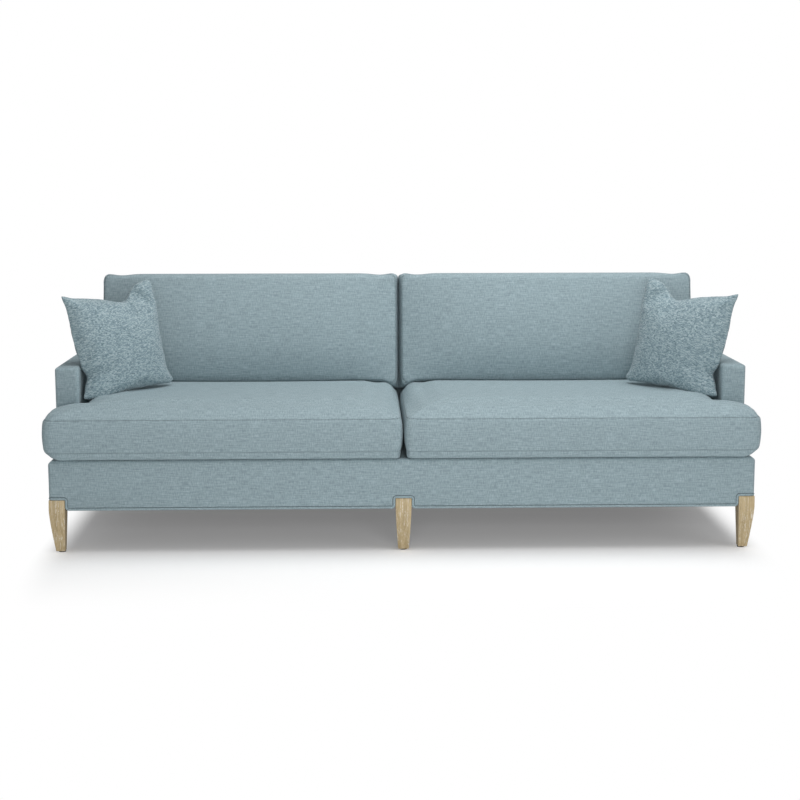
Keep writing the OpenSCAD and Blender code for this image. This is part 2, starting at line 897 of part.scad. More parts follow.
// Foot of a back cushion, [y, z], after sliding s up the inside back from the deck
function back_foot(s) = [inside_y, deck_z] + up * s + ahead * (back_under + soft_gap);
function back_underside(s) = [for (t = [0, 1 - STEPS[2], 0.5, 1 - STEPS[0], 1])
    back_foot(s) + ahead * back_box * t - up * (t == 0 || t == 1 ? 0 : pout(t))];

// Least height of the cushion over the seat: both are straight between their points
function stand_gap(s) = let (
    under = back_underside(s),
    low = [for (k = [0:len(under) - 1]) under[len(under) - 1 - k]])
    min(concat([for (p = under) p.y - lookup(p.x, seat_profile)],
        [for (p = seat_profile) if (p.x > low[0].x && p.x < low[len(low) - 1].x) lookup(p.x, low) - p.y]));
function settle(s, n) = n == 0 ? s : settle(s - (stand_gap(s) - soft_gap) / cos(back_rake), n - 1);
back_slide = settle(seat_box + seat_under + seat_crown, 8);

back_xs = lines(back_in, back_out, concat(NEAR, [crown_run]), 4);
back_ys = lines(0, back_cushion_h, concat(NEAR, [crown_run]), 2);

module back_cushion_r() {
    foot = back_foot(back_slide);
    color(LINEN)
        translate([0, foot.x, foot.y])
            rotate([90 - back_rake, 0, 0])
                boxed(back_xs, back_ys, len(back_xs) - 1, len(back_ys) - 1,
                    back_box, back_crown, back_under, crown_run);
}

module back_cushion_l() {
    mirror([1, 0, 0])
        back_cushion_r();
}

// Pillows: two panels that meet in a seam, with pointed corners and a chop in the top edge

PILLOW_N = 14;

// Place of a point of a pillow panel: u and v run from -1 to 1, side is 1 in front and -1 behind
function pillow_point(u, v, side) = let (
    from = u + pillow_chop_at,
    chop = exp(-pow(from / (from < 0 ? pillow_chop_in : pillow_chop_out), 2)) * max(v, 0),
    fill = pow((1 - u * u) * (1 - v * v), pillow_rise) * (1 - pillow_fold * chop))
    [pillow_w / 2 * u * (1 - pillow_draw * (1 - v * v)),
        pillow_h / 2 * v * (1 - pillow_draw * (1 - u * u)) - pillow_chop * chop * pow(max(v, 0), 2),
        side * (pillow_t * fill + pillow_seam) / 2];

function pillow_panel(side) = [for (j = [0:PILLOW_N]) for (i = [0:PILLOW_N])
    pillow_point(sin(90 * (2 * i / PILLOW_N - 1)), sin(90 * (2 * j / PILLOW_N - 1)), side)];

// A point of a pillow after its roll, its lean and its turn
function rolled(p) = [p.x * cos(pillow_roll) + p.y * sin(pillow_roll),
    p.y * cos(pillow_roll) - p.x * sin(pillow_roll), p.z];
function leaned(p) = [p.x, p.y * sin(pillow_lean) - p.z * cos(pillow_lean),
    p.y * cos(pillow_lean) + p.z * sin(pillow_lean)];
function turned(p) = [p.x * cos(pillow_turn) + p.y * sin(pillow_turn),
    p.y * cos(pillow_turn) - p.x * sin(pillow_turn), p.z];

// A pillow is let down until its lowest point over the seat is just clear of it
pillow_x = arm_in - pillow_arm_gap;
pillow_under = [for (side = [-1, 1]) let (panel = pillow_panel(side)) for (k = [0:len(panel) - 2])
    each [panel[k], (panel[k] + panel[k + 1]) / 2]];
pillow_z = soft_gap + max([for (p = pillow_under) let (q = turned(leaned(rolled(p))))
    seat_top(pillow_x + q.x, front_y + pillow_y + q.y) - q.z]);

module pillow_r() {
    color(SLATE)
        translate([pillow_x, front_y + pillow_y, pillow_z])
            rotate([0, 0, -pillow_turn])
                rotate([90 - pillow_lean, 0, 0])
                    rotate([0, 0, -pillow_roll])
                        soft_solid(pillow_panel(1), pillow_panel(-1), [], PILLOW_N + 1, PILLOW_N + 1,
                            PILLOW_N, PILLOW_N);
}

module pillow_l() {
    mirror([1, 0, 0])
        pillow_r();
}

front_rail();
back_rail();
side_rail_l();
side_rail_r();
centre_rail();
leg("fl");  // leg_fl
leg("fc");  // leg_fc
leg("fr");  // leg_fr
leg("rl");  // leg_rl
leg("rc");  // leg_rc
leg("rr");  // leg_rr
leg_bolt("fl");  // leg_bolt_fl
leg_bolt("fc");  // leg_bolt_fc
leg_bolt("fr");  // leg_bolt_fr
leg_bolt("rl");  // leg_bolt_rl
leg_bolt("rc");  // leg_bolt_rc
leg_bolt("rr");  // leg_bolt_rr
glide("fl");  // glide_fl
glide("fc");  // glide_fc
glide("fr");  // glide_fr
glide("rl");  // glide_rl
glide("rc");  // glide_rc
glide("rr");  // glide_rr
seat_webbing_l();
seat_webbing_r();
deck_pad();
deck_cloth();
dust_cover();
base_cover_front();
base_cover_back();
base_cover_l();
base_cover_r();
welt_front();
welt_back();
welt_l();
welt_r();
arm_frame_l();
arm_frame_r();
arm_cover_inner_l();
arm_cover_inner_r();
arm_cover_outer_l();
arm_cover_outer_r();
arm_cover_front_l();
arm_cover_front_r();
back_top_rail();
back_post_l();
back_post_c();
back_post_r();
inside_back_cover();
outside_back_cover();
back_end_cover_l();
back_end_cover_r();
seat_cushion_l();
seat_cushion_r();
back_cushion_l();
back_cushion_r();
pillow_l();
pillow_r();
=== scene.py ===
"""A two-seat sofa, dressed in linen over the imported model, with its cushions, pillows, welt and oak legs."""

import logging
import math
from dataclasses import dataclass, field
from enum import Enum
from typing import Callable, Iterable, Sequence

import bpy
import numpy as np
from bpy.types import Material, Mesh, Node, NodeSocket, NodeTree, Object
from mathutils import Matrix, Vector, noise


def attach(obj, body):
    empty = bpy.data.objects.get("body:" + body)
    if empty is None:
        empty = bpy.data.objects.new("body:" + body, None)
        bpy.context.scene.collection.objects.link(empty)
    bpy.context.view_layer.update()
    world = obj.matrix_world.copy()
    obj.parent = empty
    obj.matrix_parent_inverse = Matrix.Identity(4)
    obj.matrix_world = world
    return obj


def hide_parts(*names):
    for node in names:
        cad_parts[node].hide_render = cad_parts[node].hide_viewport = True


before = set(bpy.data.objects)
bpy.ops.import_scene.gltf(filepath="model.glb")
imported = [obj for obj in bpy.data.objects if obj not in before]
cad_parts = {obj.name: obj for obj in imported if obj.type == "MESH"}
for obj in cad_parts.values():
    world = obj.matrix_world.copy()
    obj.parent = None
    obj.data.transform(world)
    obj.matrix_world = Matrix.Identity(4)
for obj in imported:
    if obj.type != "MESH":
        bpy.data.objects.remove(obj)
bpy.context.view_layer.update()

LOG = logging.getLogger("sofa")
Triple = tuple[float, float, float]
UV_NAME = "cloth"
# The point value by which the linen and the tweed paint shade along the seams; it also sinks them in the bump.
SEAM_SHADE_NAME = "seam"
RAKE = math.radians(13.0)
SIDES = {"l": -1.0, "r": 1.0}
FEET = ("fl", "fc", "fr", "rl", "rc", "rr")
HALF_X, FRONT, BACK = 1.203, -0.445, 0.467
WHITE = (1.0, 1.0, 1.0)
QUARTER = 0.5 * math.pi
FRAMES = 20


def slope(value: np.ndarray, start: float, end: float) -> np.ndarray:
    """0 up to the start and 1 from the end on, with a straight line between. The end may be the lower."""
    return np.clip((value - start) / (end - start), 0.0, 1.0)


def eased(share: np.ndarray) -> np.ndarray:
    """A share from 0 to 1, made smooth at both ends."""
    return share * share * (3.0 - 2.0 * share)


def hump(value: np.ndarray, at: float, width: float) -> np.ndarray:
    """A smooth hump, 1 at one place."""
    return np.exp(-(((value - at) / width) ** 2))


@dataclass(frozen=True)
class Bump:
    """A smooth rise in a shape: its height, its place and its width, in the units of what it runs along."""

    height: float
    at: float
    width: float

    def over(self, value: np.ndarray) -> np.ndarray:
        """How high the rise is at each value."""
        return self.height * hump(value, self.at, self.width)


def operator(operation: str, swap: bool = False) -> Callable[..., "Socket"]:
    """Make an operator or a method of Socket that adds one Math node.

    Args:
        operation: the Math node's operation.
        swap: True puts the socket second, as a reflected operator has it.

    Returns:
        The method.
    """
    def method(self: "Socket", *others: "Socket | float") -> "Socket":
        """The Math node's result."""
        return self.maths(operation, *others, swap=swap)
    return method


class Socket:
    """A node's output that Python operators can be used on. Each operator adds a Math node."""

    def __init__(self, tree: NodeTree, output: NodeSocket) -> None:
        """Keep the tree that new nodes go into, and the output that gives the value."""
        self.tree = tree
        self.output = output

    def maths(self, operation: str, *others: "Socket | float", swap: bool = False, clamp: bool = False) -> "Socket":
        """Add a Math node.

        Args:
            operation: the Math node's operation.
            others: the values after this one.
            swap: True puts this value second.
            clamp: True keeps the result from 0 to 1.

        Returns:
            The Math node's result.
        """
        node = self.tree.nodes.new("ShaderNodeMath")
        node.operation = operation
        node.use_clamp = clamp
        values = [self, *others]
        if swap:
            values = values[::-1]
        for socket, value in zip(node.inputs, values):
            if isinstance(value, Socket):
                self.tree.links.new(value.output, socket)
            else:
                socket.default_value = float(value)
        return Socket(self.tree, node.outputs[0])

    __add__ = __radd__ = operator("ADD")
    __sub__, __rsub__ = operator("SUBTRACT"), operator("SUBTRACT", swap=True)
    __mul__ = __rmul__ = operator("MULTIPLY")
    __truediv__, __rtruediv__ = operator("DIVIDE"), operator("DIVIDE", swap=True)
    __pow__ = operator("POWER")
    __abs__ = operator("ABSOLUTE")
    sine, floor = operator("SINE"), operator("FLOOR")

    def clip(self) -> "Socket":
        """This kept from 0 to 1."""
        return self.maths("ADD", 0.0, clamp=True)

    def step(self, low: float, high: float) -> "Socket":
        """A smooth step.

        Args:
            low: where the step is 0.
            high: where the step is 1.

        Returns:
            0 to 1, smooth at both ends.
        """
        t = ((self - low) / (high - low)).clip()
        return t * t * (3.0 - 2.0 * t)


class Space(Enum):
    """What a pattern is laid out on."""

    CLOTH = "cloth"
    OBJECT = "object"


class Shader:
    """One material's nodes, written as expressions."""

    def __init__(self, name: str) -> None:
        """Start a material with a Principled surface.

        Args:
            name: the material's name.
        """
        self.material = bpy.data.materials.new(name)
        self.material.use_nodes = True
        self.tree = self.material.node_tree
        self.tree.nodes.clear()
        self.surface = self.node("ShaderNodeBsdfPrincipled")
        self.output = self.node("ShaderNodeOutputMaterial", {}, {"Surface": self.surface.outputs[0]})

    def node(self, kind: str, settings: dict | None = None, sockets: dict | None = None) -> Node:
        """Add a node.

        Args:
            kind: the node's type.
            settings: its properties, set first. A list of stops under "stops" fills a ramp.
            sockets: values or links, by the input's name or number.

        Returns:
            The node.
        """
        made = self.tree.nodes.new(kind)
        for key, value in (settings or {}).items():
            if key == "stops":
                ramp = made.color_ramp
                while len(ramp.elements) < len(value):
                    ramp.elements.new(0.5)
                for element, (place, colour) in zip(ramp.elements, value):
                    element.position = place
                    element.color = (*colour, 1.0)
            else:
                setattr(made, key, value)
        for key, value in (sockets or {}).items():
            target = made.inputs[key]
            if isinstance(value, Socket):
                self.tree.links.new(value.output, target)
            elif isinstance(value, NodeSocket):
                self.tree.links.new(value, target)
            elif target.type == "RGBA":
                target.default_value = (*value, 1.0)
            else:
                target.default_value = value
        return made

    def number(self, output: NodeSocket) -> Socket:
        """A node's output as a number to calculate with."""
        return Socket(self.tree, output)

    def place(self, space: Space) -> NodeSocket:
        """Coordinates of a pattern.

        Args:
            space: the cloth's own layout or the object's.

        Returns:
            A vector in metres.
        """
        if space is Space.CLOTH:
            return self.node("ShaderNodeUVMap", {"uv_map": UV_NAME}).outputs[0]
        return self.node("ShaderNodeTexCoord").outputs["Object"]

    def scaled(self, vector: NodeSocket, scale: Sequence[float], shift: Sequence[float] = (0, 0, 0),
               turn: Sequence[float] = (0, 0, 0)) -> NodeSocket:
        """Coordinates stretched, turned (in radians) and then moved by a Mapping node."""
        return self.node("ShaderNodeMapping", {}, {
            "Vector": vector, "Scale": scale, "Location": shift, "Rotation": turn}).outputs[0]

    def parts(self, vector: NodeSocket) -> tuple[Socket, Socket, Socket]:
        """The three numbers of a vector."""
        outputs = self.node("ShaderNodeSeparateXYZ", {}, {0: vector}).outputs
        return tuple(self.number(output) for output in outputs)

    def joined(self, x: Socket | float, y: Socket | float, z: Socket | float = 0.0) -> NodeSocket:
        """A vector of three numbers."""
        return self.node("ShaderNodeCombineXYZ", {}, {0: x, 1: y, 2: z}).outputs[0]

    def noise(self, vector: NodeSocket, scale: float = 1.0, detail: float = 2.0, rough: float = 0.5,
              bend: float = 0.0) -> Socket:
        """A Noise texture's value, with a mean of 0.5: scale, octaves, share that each keeps, distortion."""
        made = self.node("ShaderNodeTexNoise", {}, {
            "Vector": vector, "Scale": scale, "Detail": detail, "Roughness": rough, "Distortion": bend})
        return self.number(made.outputs["Fac"])

    def cells(self, vector: NodeSocket) -> Socket:
        """A random value, 0 to 1, for each place."""
        return self.number(self.node("ShaderNodeTexWhiteNoise", {"noise_dimensions": "3D"}, {
            "Vector": vector}).outputs["Value"])

    def mix(self, factor: Socket | float, a: object, b: object, blend: str = "MIX") -> NodeSocket:
        """Two colours, each a tuple or a socket, mixed by the share of the second."""
        made = self.node("ShaderNodeMix", {"data_type": "RGBA", "blend_type": blend}, {0: factor, 6: a, 7: b})
        return made.outputs[2]

    def ramp(self, factor: Socket, stops: list[tuple[float, Triple]]) -> NodeSocket:
        """A colour ramp, with the place and the colour of each stop."""
        return self.node("ShaderNodeValToRGB", {"stops": stops}, {0: factor}).outputs[0]

    def grey(self, value: Socket) -> NodeSocket:
        """A number as a grey colour, to multiply a colour with."""
        return self.node("ShaderNodeCombineColor", {}, {0: value, 1: value, 2: value}).outputs[0]

    def wandering(self, place: NodeSocket, pitch: float, size: float, shift: Triple) -> tuple[Socket, Socket]:
        """Let threads stray a little to each side.

        Args:
            place: the cloth's coordinates.
            pitch: how far they stray.
            size: the noise's scale.
            shift: sets the straying of the two directions apart.

        Returns:
            The places across the two directions of thread.
        """
        u, v, _ = self.parts(place)
        u = u + (self.noise(place, size, 2.0) - 0.5) * pitch
        v = v + (self.noise(self.scaled(place, (1, 1, 1), shift), size, 2.0) - 0.5) * pitch
        return u, v

    def weave(self, u: Socket, v: Socket, pitch: float, edge: float) -> tuple[Socket, Socket]:
        """Cross two directions of thread over and under each other.

        Args:
            u: places across the upright threads.
            v: places across the level threads.
            pitch: the distance between threads.
            edge: how soft the crossings' edges are.

        Returns:
            Where the upright threads lie over, and how round the upper thread is.
        """
        turn = math.pi / pitch
        over = ((u * turn).sine() * (v * turn).sine() * 0.5 + 0.5).step(0.5 - edge, 0.5 + edge)
        upright, level = (abs((side * turn + QUARTER).sine()) for side in (u, v))
        return over, upright * over + level * (1.0 - over)

    def mark(self, name: str) -> Socket:
        """A value painted on a piece's points: the seam mark, by which the materials paint shade along the seams."""
        return self.number(self.node("ShaderNodeAttribute", {"attribute_name": name}).outputs["Fac"])

    def relief(self, height: Socket, distance: float, strength: float = 1.0) -> None:
        """Raise the surface by a height from 0 to 1, where 1 is the distance in metres."""
        bump = self.node("ShaderNodeBump", {}, {"Height": height, "Distance": distance, "Strength": strength})
        self.tree.links.new(bump.outputs[0], self.surface.inputs["Normal"])

    def wear(self, colour: NodeSocket, roughness: Socket | float, **constants: float) -> Material:
        """Feed the surface and finish the material.

        Args:
            colour: the base colour.
            roughness: the roughness.
            constants: other sockets of the surface, with _ for a space.

        Returns:
            The material.
        """
        self.tree.links.new(colour, self.surface.inputs["Base Color"])
        if isinstance(roughness, Socket):
            self.tree.links.new(roughness.output, self.surface.inputs["Roughness"])
        else:
            self.surface.inputs["Roughness"].default_value = roughness
        for key, value in constants.items():
            self.surface.inputs[key.replace("_", " ")].default_value = value
        return self.material


@dataclass(frozen=True)
class Linen:
    """Slubbed plain weave in two close shades of grey blue."""

    name: str = "linen"
    warp: Triple = (0.335, 0.424, 0.455)
    weft: Triple = (0.250, 0.334, 0.366)
    pitch: float = 0.0016
    slub: float = 0.62
    relief: float = 0.0005

    def build(self) -> Material:
        """Make the material.

        Returns:
            The material.
        """
        s = Shader(self.name)
        place = s.place(Space.CLOTH)
        u, v = s.wandering(place, self.pitch * 0.9, 55.0, (3.1, 7.7, 0))
        over, thread = s.weave(u, v, self.pitch, 0.18)
        upright = s.noise(s.scaled(place, (340.0, 60.0, 1.0)), 1.0, 3.0, 0.6) - 0.5
        across = s.noise(s.scaled(place, (25.0, 340.0, 1.0), (4.0, 9.0, 0)), 1.0, 3.0, 0.6) - 0.5
        long_slub = s.noise(s.scaled(place, (6.0, 150.0, 1.0), (1.0, 2.0, 0)), 1.0, 2.0, 0.5).step(0.56, 0.74)
        tall_slub = s.noise(s.scaled(place, (150.0, 7.0, 1.0), (5.0, 3.0, 0)), 1.0, 2.0, 0.5).step(0.58, 0.76)
        cloud = s.noise(place, 9.0, 3.0, 0.55) - 0.5
        fibre = s.noise(place, 1500.0, 2.0, 0.6) - 0.5
        shade = (over * 0.5 + (upright + across) * 1.6 + 0.25).clip()
        colour = s.mix(shade, self.weft, self.warp)
        # Painted shade: the thread term darkens the flanks of each round thread; the slubs, clouds and fibre vary at
        # random.
        tone = (0.90 + (upright + across) * self.slub + cloud * 0.06 + fibre * 0.22 + long_slub * 0.06
                - tall_slub * 0.03 + thread * 0.14)
        # Painted shade: the seam mark darkens the colour along the seam grooves; in the bump it also sinks them.
        seam = s.mark(SEAM_SHADE_NAME)
        colour = s.mix(1.0, colour, s.grey(tone * (1.0 - seam * 0.60)), "MULTIPLY")
        s.relief(thread * 0.7 + (upright + across) * 0.9 - seam * 0.8, self.relief, 0.55)
        return s.wear(colour, 0.84 + fibre * 0.16, Sheen_Weight=0.06, Sheen_Roughness=0.45,
                      Specular_IOR_Level=0.25)


@dataclass(frozen=True)
class Tweed:
    """Coarse basket weave of cream, pale blue and dark slate yarns."""

    name: str = "tweed"
    pitch: float = 0.0034
    pick: float = 0.0024
    relief: float = 0.0014

    def build(self) -> Material:
        """Make the material.

        Returns:
            The material.
        """
        s = Shader(self.name)
        place = s.place(Space.CLOTH)
        u, v = s.wandering(place, self.pitch * 1.3, 38.0, (5.3, 2.9, 0))
        over, yarn = s.weave(u, v, self.pitch, 0.2)
        column = s.joined((u / self.pick).floor(), (v / (self.pick * 2.2)).floor(), 1.0)
        row = s.joined((u / (self.pick * 2.6)).floor(), (v / self.pick).floor(), 2.0)
        cell = s.cells(column) * over + s.cells(row) * (1.0 - over)
        streak = s.noise(s.scaled(place, (110.0, 640.0, 1.0)), 1.0, 3.0, 0.7)
        drop = s.noise(s.scaled(place, (640.0, 110.0, 1.0), (2.0, 8.0, 0)), 1.0, 3.0, 0.7)
        value = (s.cells(row) * 0.34 + cell * 0.34 + streak * 0.34 + drop * 0.24 - 0.15).clip()
        colour = s.ramp(value, [
            (0.0, (0.100, 0.160, 0.190)), (0.30, (0.180, 0.262, 0.298)), (0.52, (0.285, 0.378, 0.410)),
            (0.74, (0.400, 0.500, 0.532)), (1.0, (0.590, 0.672, 0.690))])
        fibre = s.noise(place, 900.0, 2.0, 0.6)
        # Painted shade: the yarn term darkens the flanks of each round yarn and the gaps between yarns, and the seam
        # mark darkens the colour along the seam; the fibre term varies at random.
        seam = s.mark(SEAM_SHADE_NAME)
        tone = (0.68 + yarn * 0.48 + (fibre - 0.5) * 0.2) * (1.0 - seam * 0.35)
        colour = s.mix(1.0, colour, s.grey(tone), "MULTIPLY")
        s.relief(yarn * 0.8 + cell * 0.25 + fibre * 0.1 - seam * 0.5, self.relief, 0.6)
        return s.wear(colour, 0.88, Sheen_Weight=0.18, Sheen_Roughness=0.5, Specular_IOR_Level=0.2)


@dataclass(frozen=True)
class LimedOak:
    """Pale oak with lime left in its pores, grain along the leg."""

    name: str = "limed_oak"
    pale: Triple = (0.560, 0.445, 0.262)
    deep: Triple = (0.325, 0.236, 0.118)
    lime: Triple = (0.680, 0.615, 0.480)
    chalk: Triple = (0.780, 0.740, 0.640)

    def build(self) -> Material:
        """Make the material.

        Returns:
            The material.
        """
        s = Shader(self.name)
        place = s.place(Space.OBJECT)
        ring_place = s.scaled(place, (34.0, 21.0, 2.1), (0, 0, 0), (0.03, 0.05, 0.4))
        rings = s.noise(ring_place, 1.0, 3.0, 0.5, 0.6)
        bands = ((rings * 46.0).sine() * 0.5 + 0.5) ** 1.6
        fleck = s.noise(s.scaled(place, (420.0, 420.0, 22.0)), 1.0, 3.0, 0.65)
        pores = fleck.step(0.56, 0.66)
        fine = s.noise(s.scaled(place, (1500.0, 1500.0, 34.0)), 1.0, 2.0, 0.6)
        cloud = s.noise(place, 16.0, 2.0)
        colour = s.mix((bands * 0.40 + (cloud - 0.5) * 0.6 + (fine - 0.5) * 1.2 + 0.14).clip(), self.pale, self.deep)
        colour = s.mix(pores * 0.7, colour, self.lime)
        colour = s.mix((1.0 - fleck.step(0.34, 0.45)) * 0.6, colour, self.deep)
        streak = s.noise(s.scaled(place, (230.0, 230.0, 6.0), (3.0, 1.0, 2.0)), 1.0, 2.0, 0.5).step(0.56, 0.66)
        breaks = s.noise(s.scaled(place, (520.0, 520.0, 170.0)), 1.0, 2.0, 0.6).step(0.40, 0.60)
        colour = s.mix(streak * breaks * 0.8, colour, self.chalk)
        s.relief(fine * 0.4 - pores * 0.6 - bands * 0.25, 0.0003, 0.5)
        return s.wear(colour, 0.46 + pores * 0.22 + (cloud - 0.5) * 0.12, Specular_IOR_Level=0.4)


@dataclass(frozen=True)
class Softwood:
    """Planed softwood of the hidden frame."""

    name: str = "softwood"

    def build(self) -> Material:
        """Make the material.

        Returns:
            The material.
        """
        s = Shader(self.name)
        place = s.place(Space.OBJECT)
        rings = s.noise(s.scaled(place, (2.2, 26.0, 26.0)), 1.0, 3.0, 0.5, 0.4)
        bands = ((rings * 38.0).sine() * 0.5 + 0.5) ** 2.0
        fine = s.noise(s.scaled(place, (30.0, 700.0, 700.0)), 1.0, 2.0, 0.6)
        colour = s.mix((bands * 0.7 + (fine - 0.5) * 0.5).clip(), (0.62, 0.42, 0.22), (0.40, 0.23, 0.10))
        s.relief(fine * 0.5 - bands * 0.2, 0.0003, 0.5)
        return s.wear(colour, 0.62 + (fine - 0.5) * 0.2)


@dataclass(frozen=True)
class Woven:
    """A plain technical cloth, such as webbing or the cloth under the base."""

    name: str
    light: Triple
    dark: Triple
    pitch: float

    def build(self) -> Material:
        """Make the material.

        Returns:
            The material.
        """
        s = Shader(self.name)
        place = s.place(Space.OBJECT)
        x, y, z = s.parts(place)
        over, _ = s.weave(x, y + z, self.pitch, 0.2)
        fibre = s.noise(place, 1.6 / self.pitch, 3.0, 0.65)
        cloud = s.noise(place, 7.0, 2.0)
        colour = s.mix((over * 0.5 + (fibre - 0.5) * 1.1 + (cloud - 0.5) * 0.4 + 0.25).clip(), self.dark, self.light)
        s.relief(over * 0.6 + fibre * 0.5, self.pitch * 0.2, 0.5)
        return s.wear(colour, 0.9, Specular_IOR_Level=0.15)


@dataclass(frozen=True)
class Moulded:
    """Moulded nylon of the glides."""

    name: str = "nylon"

    def build(self) -> Material:
        """Make the material.

        Returns:
            The material.
        """
        s = Shader(self.name)
        place = s.place(Space.OBJECT)
        grain = s.noise(place, 1400.0, 2.0)
        scuff = s.noise(s.scaled(place, (90.0, 700.0, 90.0)), 1.0, 3.0).step(0.56, 0.75)
        colour = s.mix(scuff * 0.5, (0.035, 0.035, 0.038), (0.11, 0.11, 0.112))
        s.relief(grain, 0.0001, 0.4)
        return s.wear(colour, 0.45 + scuff * 0.25)


@dataclass(frozen=True)
class Zinc:
    """Zinc plated steel of the hanger bolts."""

    name: str = "zinc"

    def build(self) -> Material:
        """Make the material.

        Returns:
            The material.
        """
        s = Shader(self.name)
        place = s.place(Space.OBJECT)
        thread = (s.parts(place)[2] * (2.0 * math.pi / 0.00125)).sine() * 0.5 + 0.5
        bloom = s.noise(place, 160.0, 3.0)
        colour = s.mix((bloom * 0.8).clip(), (0.60, 0.60, 0.58), (0.76, 0.77, 0.78))
        s.relief(thread, 0.0006, 0.8)
        return s.wear(colour, 0.32 + bloom * 0.2, Metallic=1.0)


class Piece:
    """One object, with the object and edit-mode operators that are used on it."""

    def __init__(self, made: Object) -> None:
        """Keep the object."""
        self.object = made

    @classmethod
    def from_mesh(cls, name: str, mesh: Mesh) -> "Piece":
        """Put a mesh into the scene.

        Args:
            name: the new object's name.
            mesh: its mesh.

        Returns:
            The piece.
        """
        made = bpy.data.objects.new(name, mesh)
        bpy.context.scene.collection.objects.link(made)
        return cls(made)

    @classmethod
    def copy_of(cls, node: str, name: str) -> "Piece":
        """Copy a CAD node's mesh to a new object and merge it.

        Args:
            node: the CAD node.
            name: the new object's name.

        Returns:
            The piece, in the node's place.
        """
        piece = cls.from_mesh(name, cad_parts[node].data.copy())
        piece.object.data.name = name
        piece.object.data.materials.clear()
        piece.only()
        bpy.ops.mesh.customdata_custom_splitnormals_clear()
        piece.edit(("remove_doubles", {"threshold": 0.00002}))
        return piece

    def only(self) -> None:
        """Select this object alone and make it the active one."""
        bpy.ops.object.select_all(action="DESELECT")
        self.object.select_set(True)
        bpy.context.view_layer.objects.active = self.object

    def edit(self, *steps: tuple[str, dict]) -> None:
        """Run edit-mode operators on the whole mesh.

        Args:
            steps: each operator's name in bpy.ops.mesh, and its settings.
        """
        self.only()
        bpy.ops.object.mode_set(mode="EDIT")
        for name, settings in steps:
            bpy.ops.mesh.select_all(action="SELECT")
            getattr(bpy.ops.mesh, name)(**settings)
        bpy.ops.object.mode_set(mode="OBJECT")

    def cut(self, planes: Iterable[tuple[Vector, Vector]]) -> None:
        """Cut the whole mesh along planes, each a point and a direction."""
        self.edit(*(("bisect", {"plane_co": point, "plane_no": way}) for point, way in planes))

    def modify(self, kind: str, **settings: object) -> None:
        """Add a modifier and apply it.

        Args:
            kind: the modifier's type.
            settings: its properties.
        """
        self.only()
        made = self.object.modifiers.new(kind.lower(), kind)
        for key, value in settings.items():
            setattr(made, key, value)
        bpy.ops.object.modifier_apply(modifier=made.name)

    def divide(self, levels: int) -> None:
        """Divide each face, and round the mesh off."""
        self.modify("SUBSURF", levels=levels, render_levels=levels)

    def join_flat(self) -> None:
        """Join the triangles of each flat face."""
        self.edit(("dissolve_limited", {"angle_limit": math.radians(0.3)}))

    def roll(self, width: float, segments: int) -> None:
        """Roll every edge sharper than 40 degrees."""
        self.modify("BEVEL", width=width, segments=segments, limit_method="ANGLE", angle_limit=math.radians(40.0))

    def smooth(self, angle: float) -> None:
        """Shade smooth where faces meet at less than an angle in degrees."""
        self.only()
        bpy.ops.object.shade_smooth_by_angle(angle=math.radians(angle))

    def soften(self) -> None:
        """Shade the whole piece smooth."""
        self.only()
        bpy.ops.object.shade_smooth()

    @staticmethod
    def rows(items: Sequence[object], name: str) -> np.ndarray:
        """Read a property of three numbers from each part of a mesh.

        Args:
            items: the mesh's points, or the normals of its points or faces.
            name: the property.

        Returns:
            One row of x, y, z for each part.
        """
        out = np.empty(len(items) * 3, dtype=np.float32)
        items.foreach_get(name, out)
        return out.reshape(-1, 3).astype(float)

    def points(self) -> np.ndarray:
        """The mesh's points, one row each."""
        return self.rows(self.object.data.vertices, "co")

    def normals(self) -> np.ndarray:
        """The normals of the mesh's points, one row each."""
        return self.rows(self.object.data.vertex_normals, "vector")

    def move_to(self, points: np.ndarray) -> None:
        """Put the mesh's points where the rows say."""
        self.object.data.vertices.foreach_set("co", np.ascontiguousarray(points, dtype=np.float32).ravel())
        self.object.data.update()

    def mark(self, values: np.ndarray) -> None:
        """Keep a value from 0 to 1 on each point, for the seams: the materials paint shade into the colour by it and
        sink the bump.
        """
        layer = self.object.data.attributes.new(SEAM_SHADE_NAME, "FLOAT", "POINT")
        layer.data.foreach_set("value", values.astype(np.float32))

    def lay_out(self, turn: Matrix = Matrix.Identity(3)) -> None:
        """Give each face a layout in metres, seen along its main direction, so that threads run true.

        Args:
            turn: turns the sofa's axes into the piece's own.
        """
        own = np.array(turn)
        mesh = self.object.data
        normal = np.abs(self.rows(mesh.polygon_normals, "vector") @ own.T)
        main = np.argmax(normal * np.array([1.0, 1.0, 1.02]), axis=1)
        total = np.empty(len(mesh.polygons), dtype=np.int32)
        mesh.polygons.foreach_get("loop_total", total)
        corner = np.empty(len(mesh.loops), dtype=np.int32)
        mesh.loops.foreach_get("vertex_index", corner)
        way = np.repeat(main, total)
        rows, index = (self.points() @ own.T)[corner], np.arange(len(corner))
        uv = np.stack([rows[index, np.where(way == 0, 1, 0)], rows[index, np.where(way == 2, 1, 2)]], axis=1)
        layer = mesh.uv_layers.get(UV_NAME) or mesh.uv_layers.new(name=UV_NAME)
        layer.data.foreach_set("uv", uv.astype(np.float32).ravel())
        mesh.uv_layers.active = layer

    def coat(self, material: Material) -> None:
        """Give the piece one material and a slot.

        Args:
            material: its finish.
        """
        self.object.data.materials.clear()
        self.object.data.materials.append(material)

    def dress(self, material: Material, slot: str, body: str, *nodes: str) -> None:
        """Give the piece its material, its body and the CAD nodes it stands for.

        Args:
            material: its finish.
            slot: not used.
            body: the CAD body it rides on.
            nodes: the CAD nodes it stands for.
        """
        self.coat(material)
        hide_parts(*nodes)
        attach(self.object, body)
        LOG.info("%s: %d faces, rides on %s", self.object.name, len(self.object.data.polygons), body)


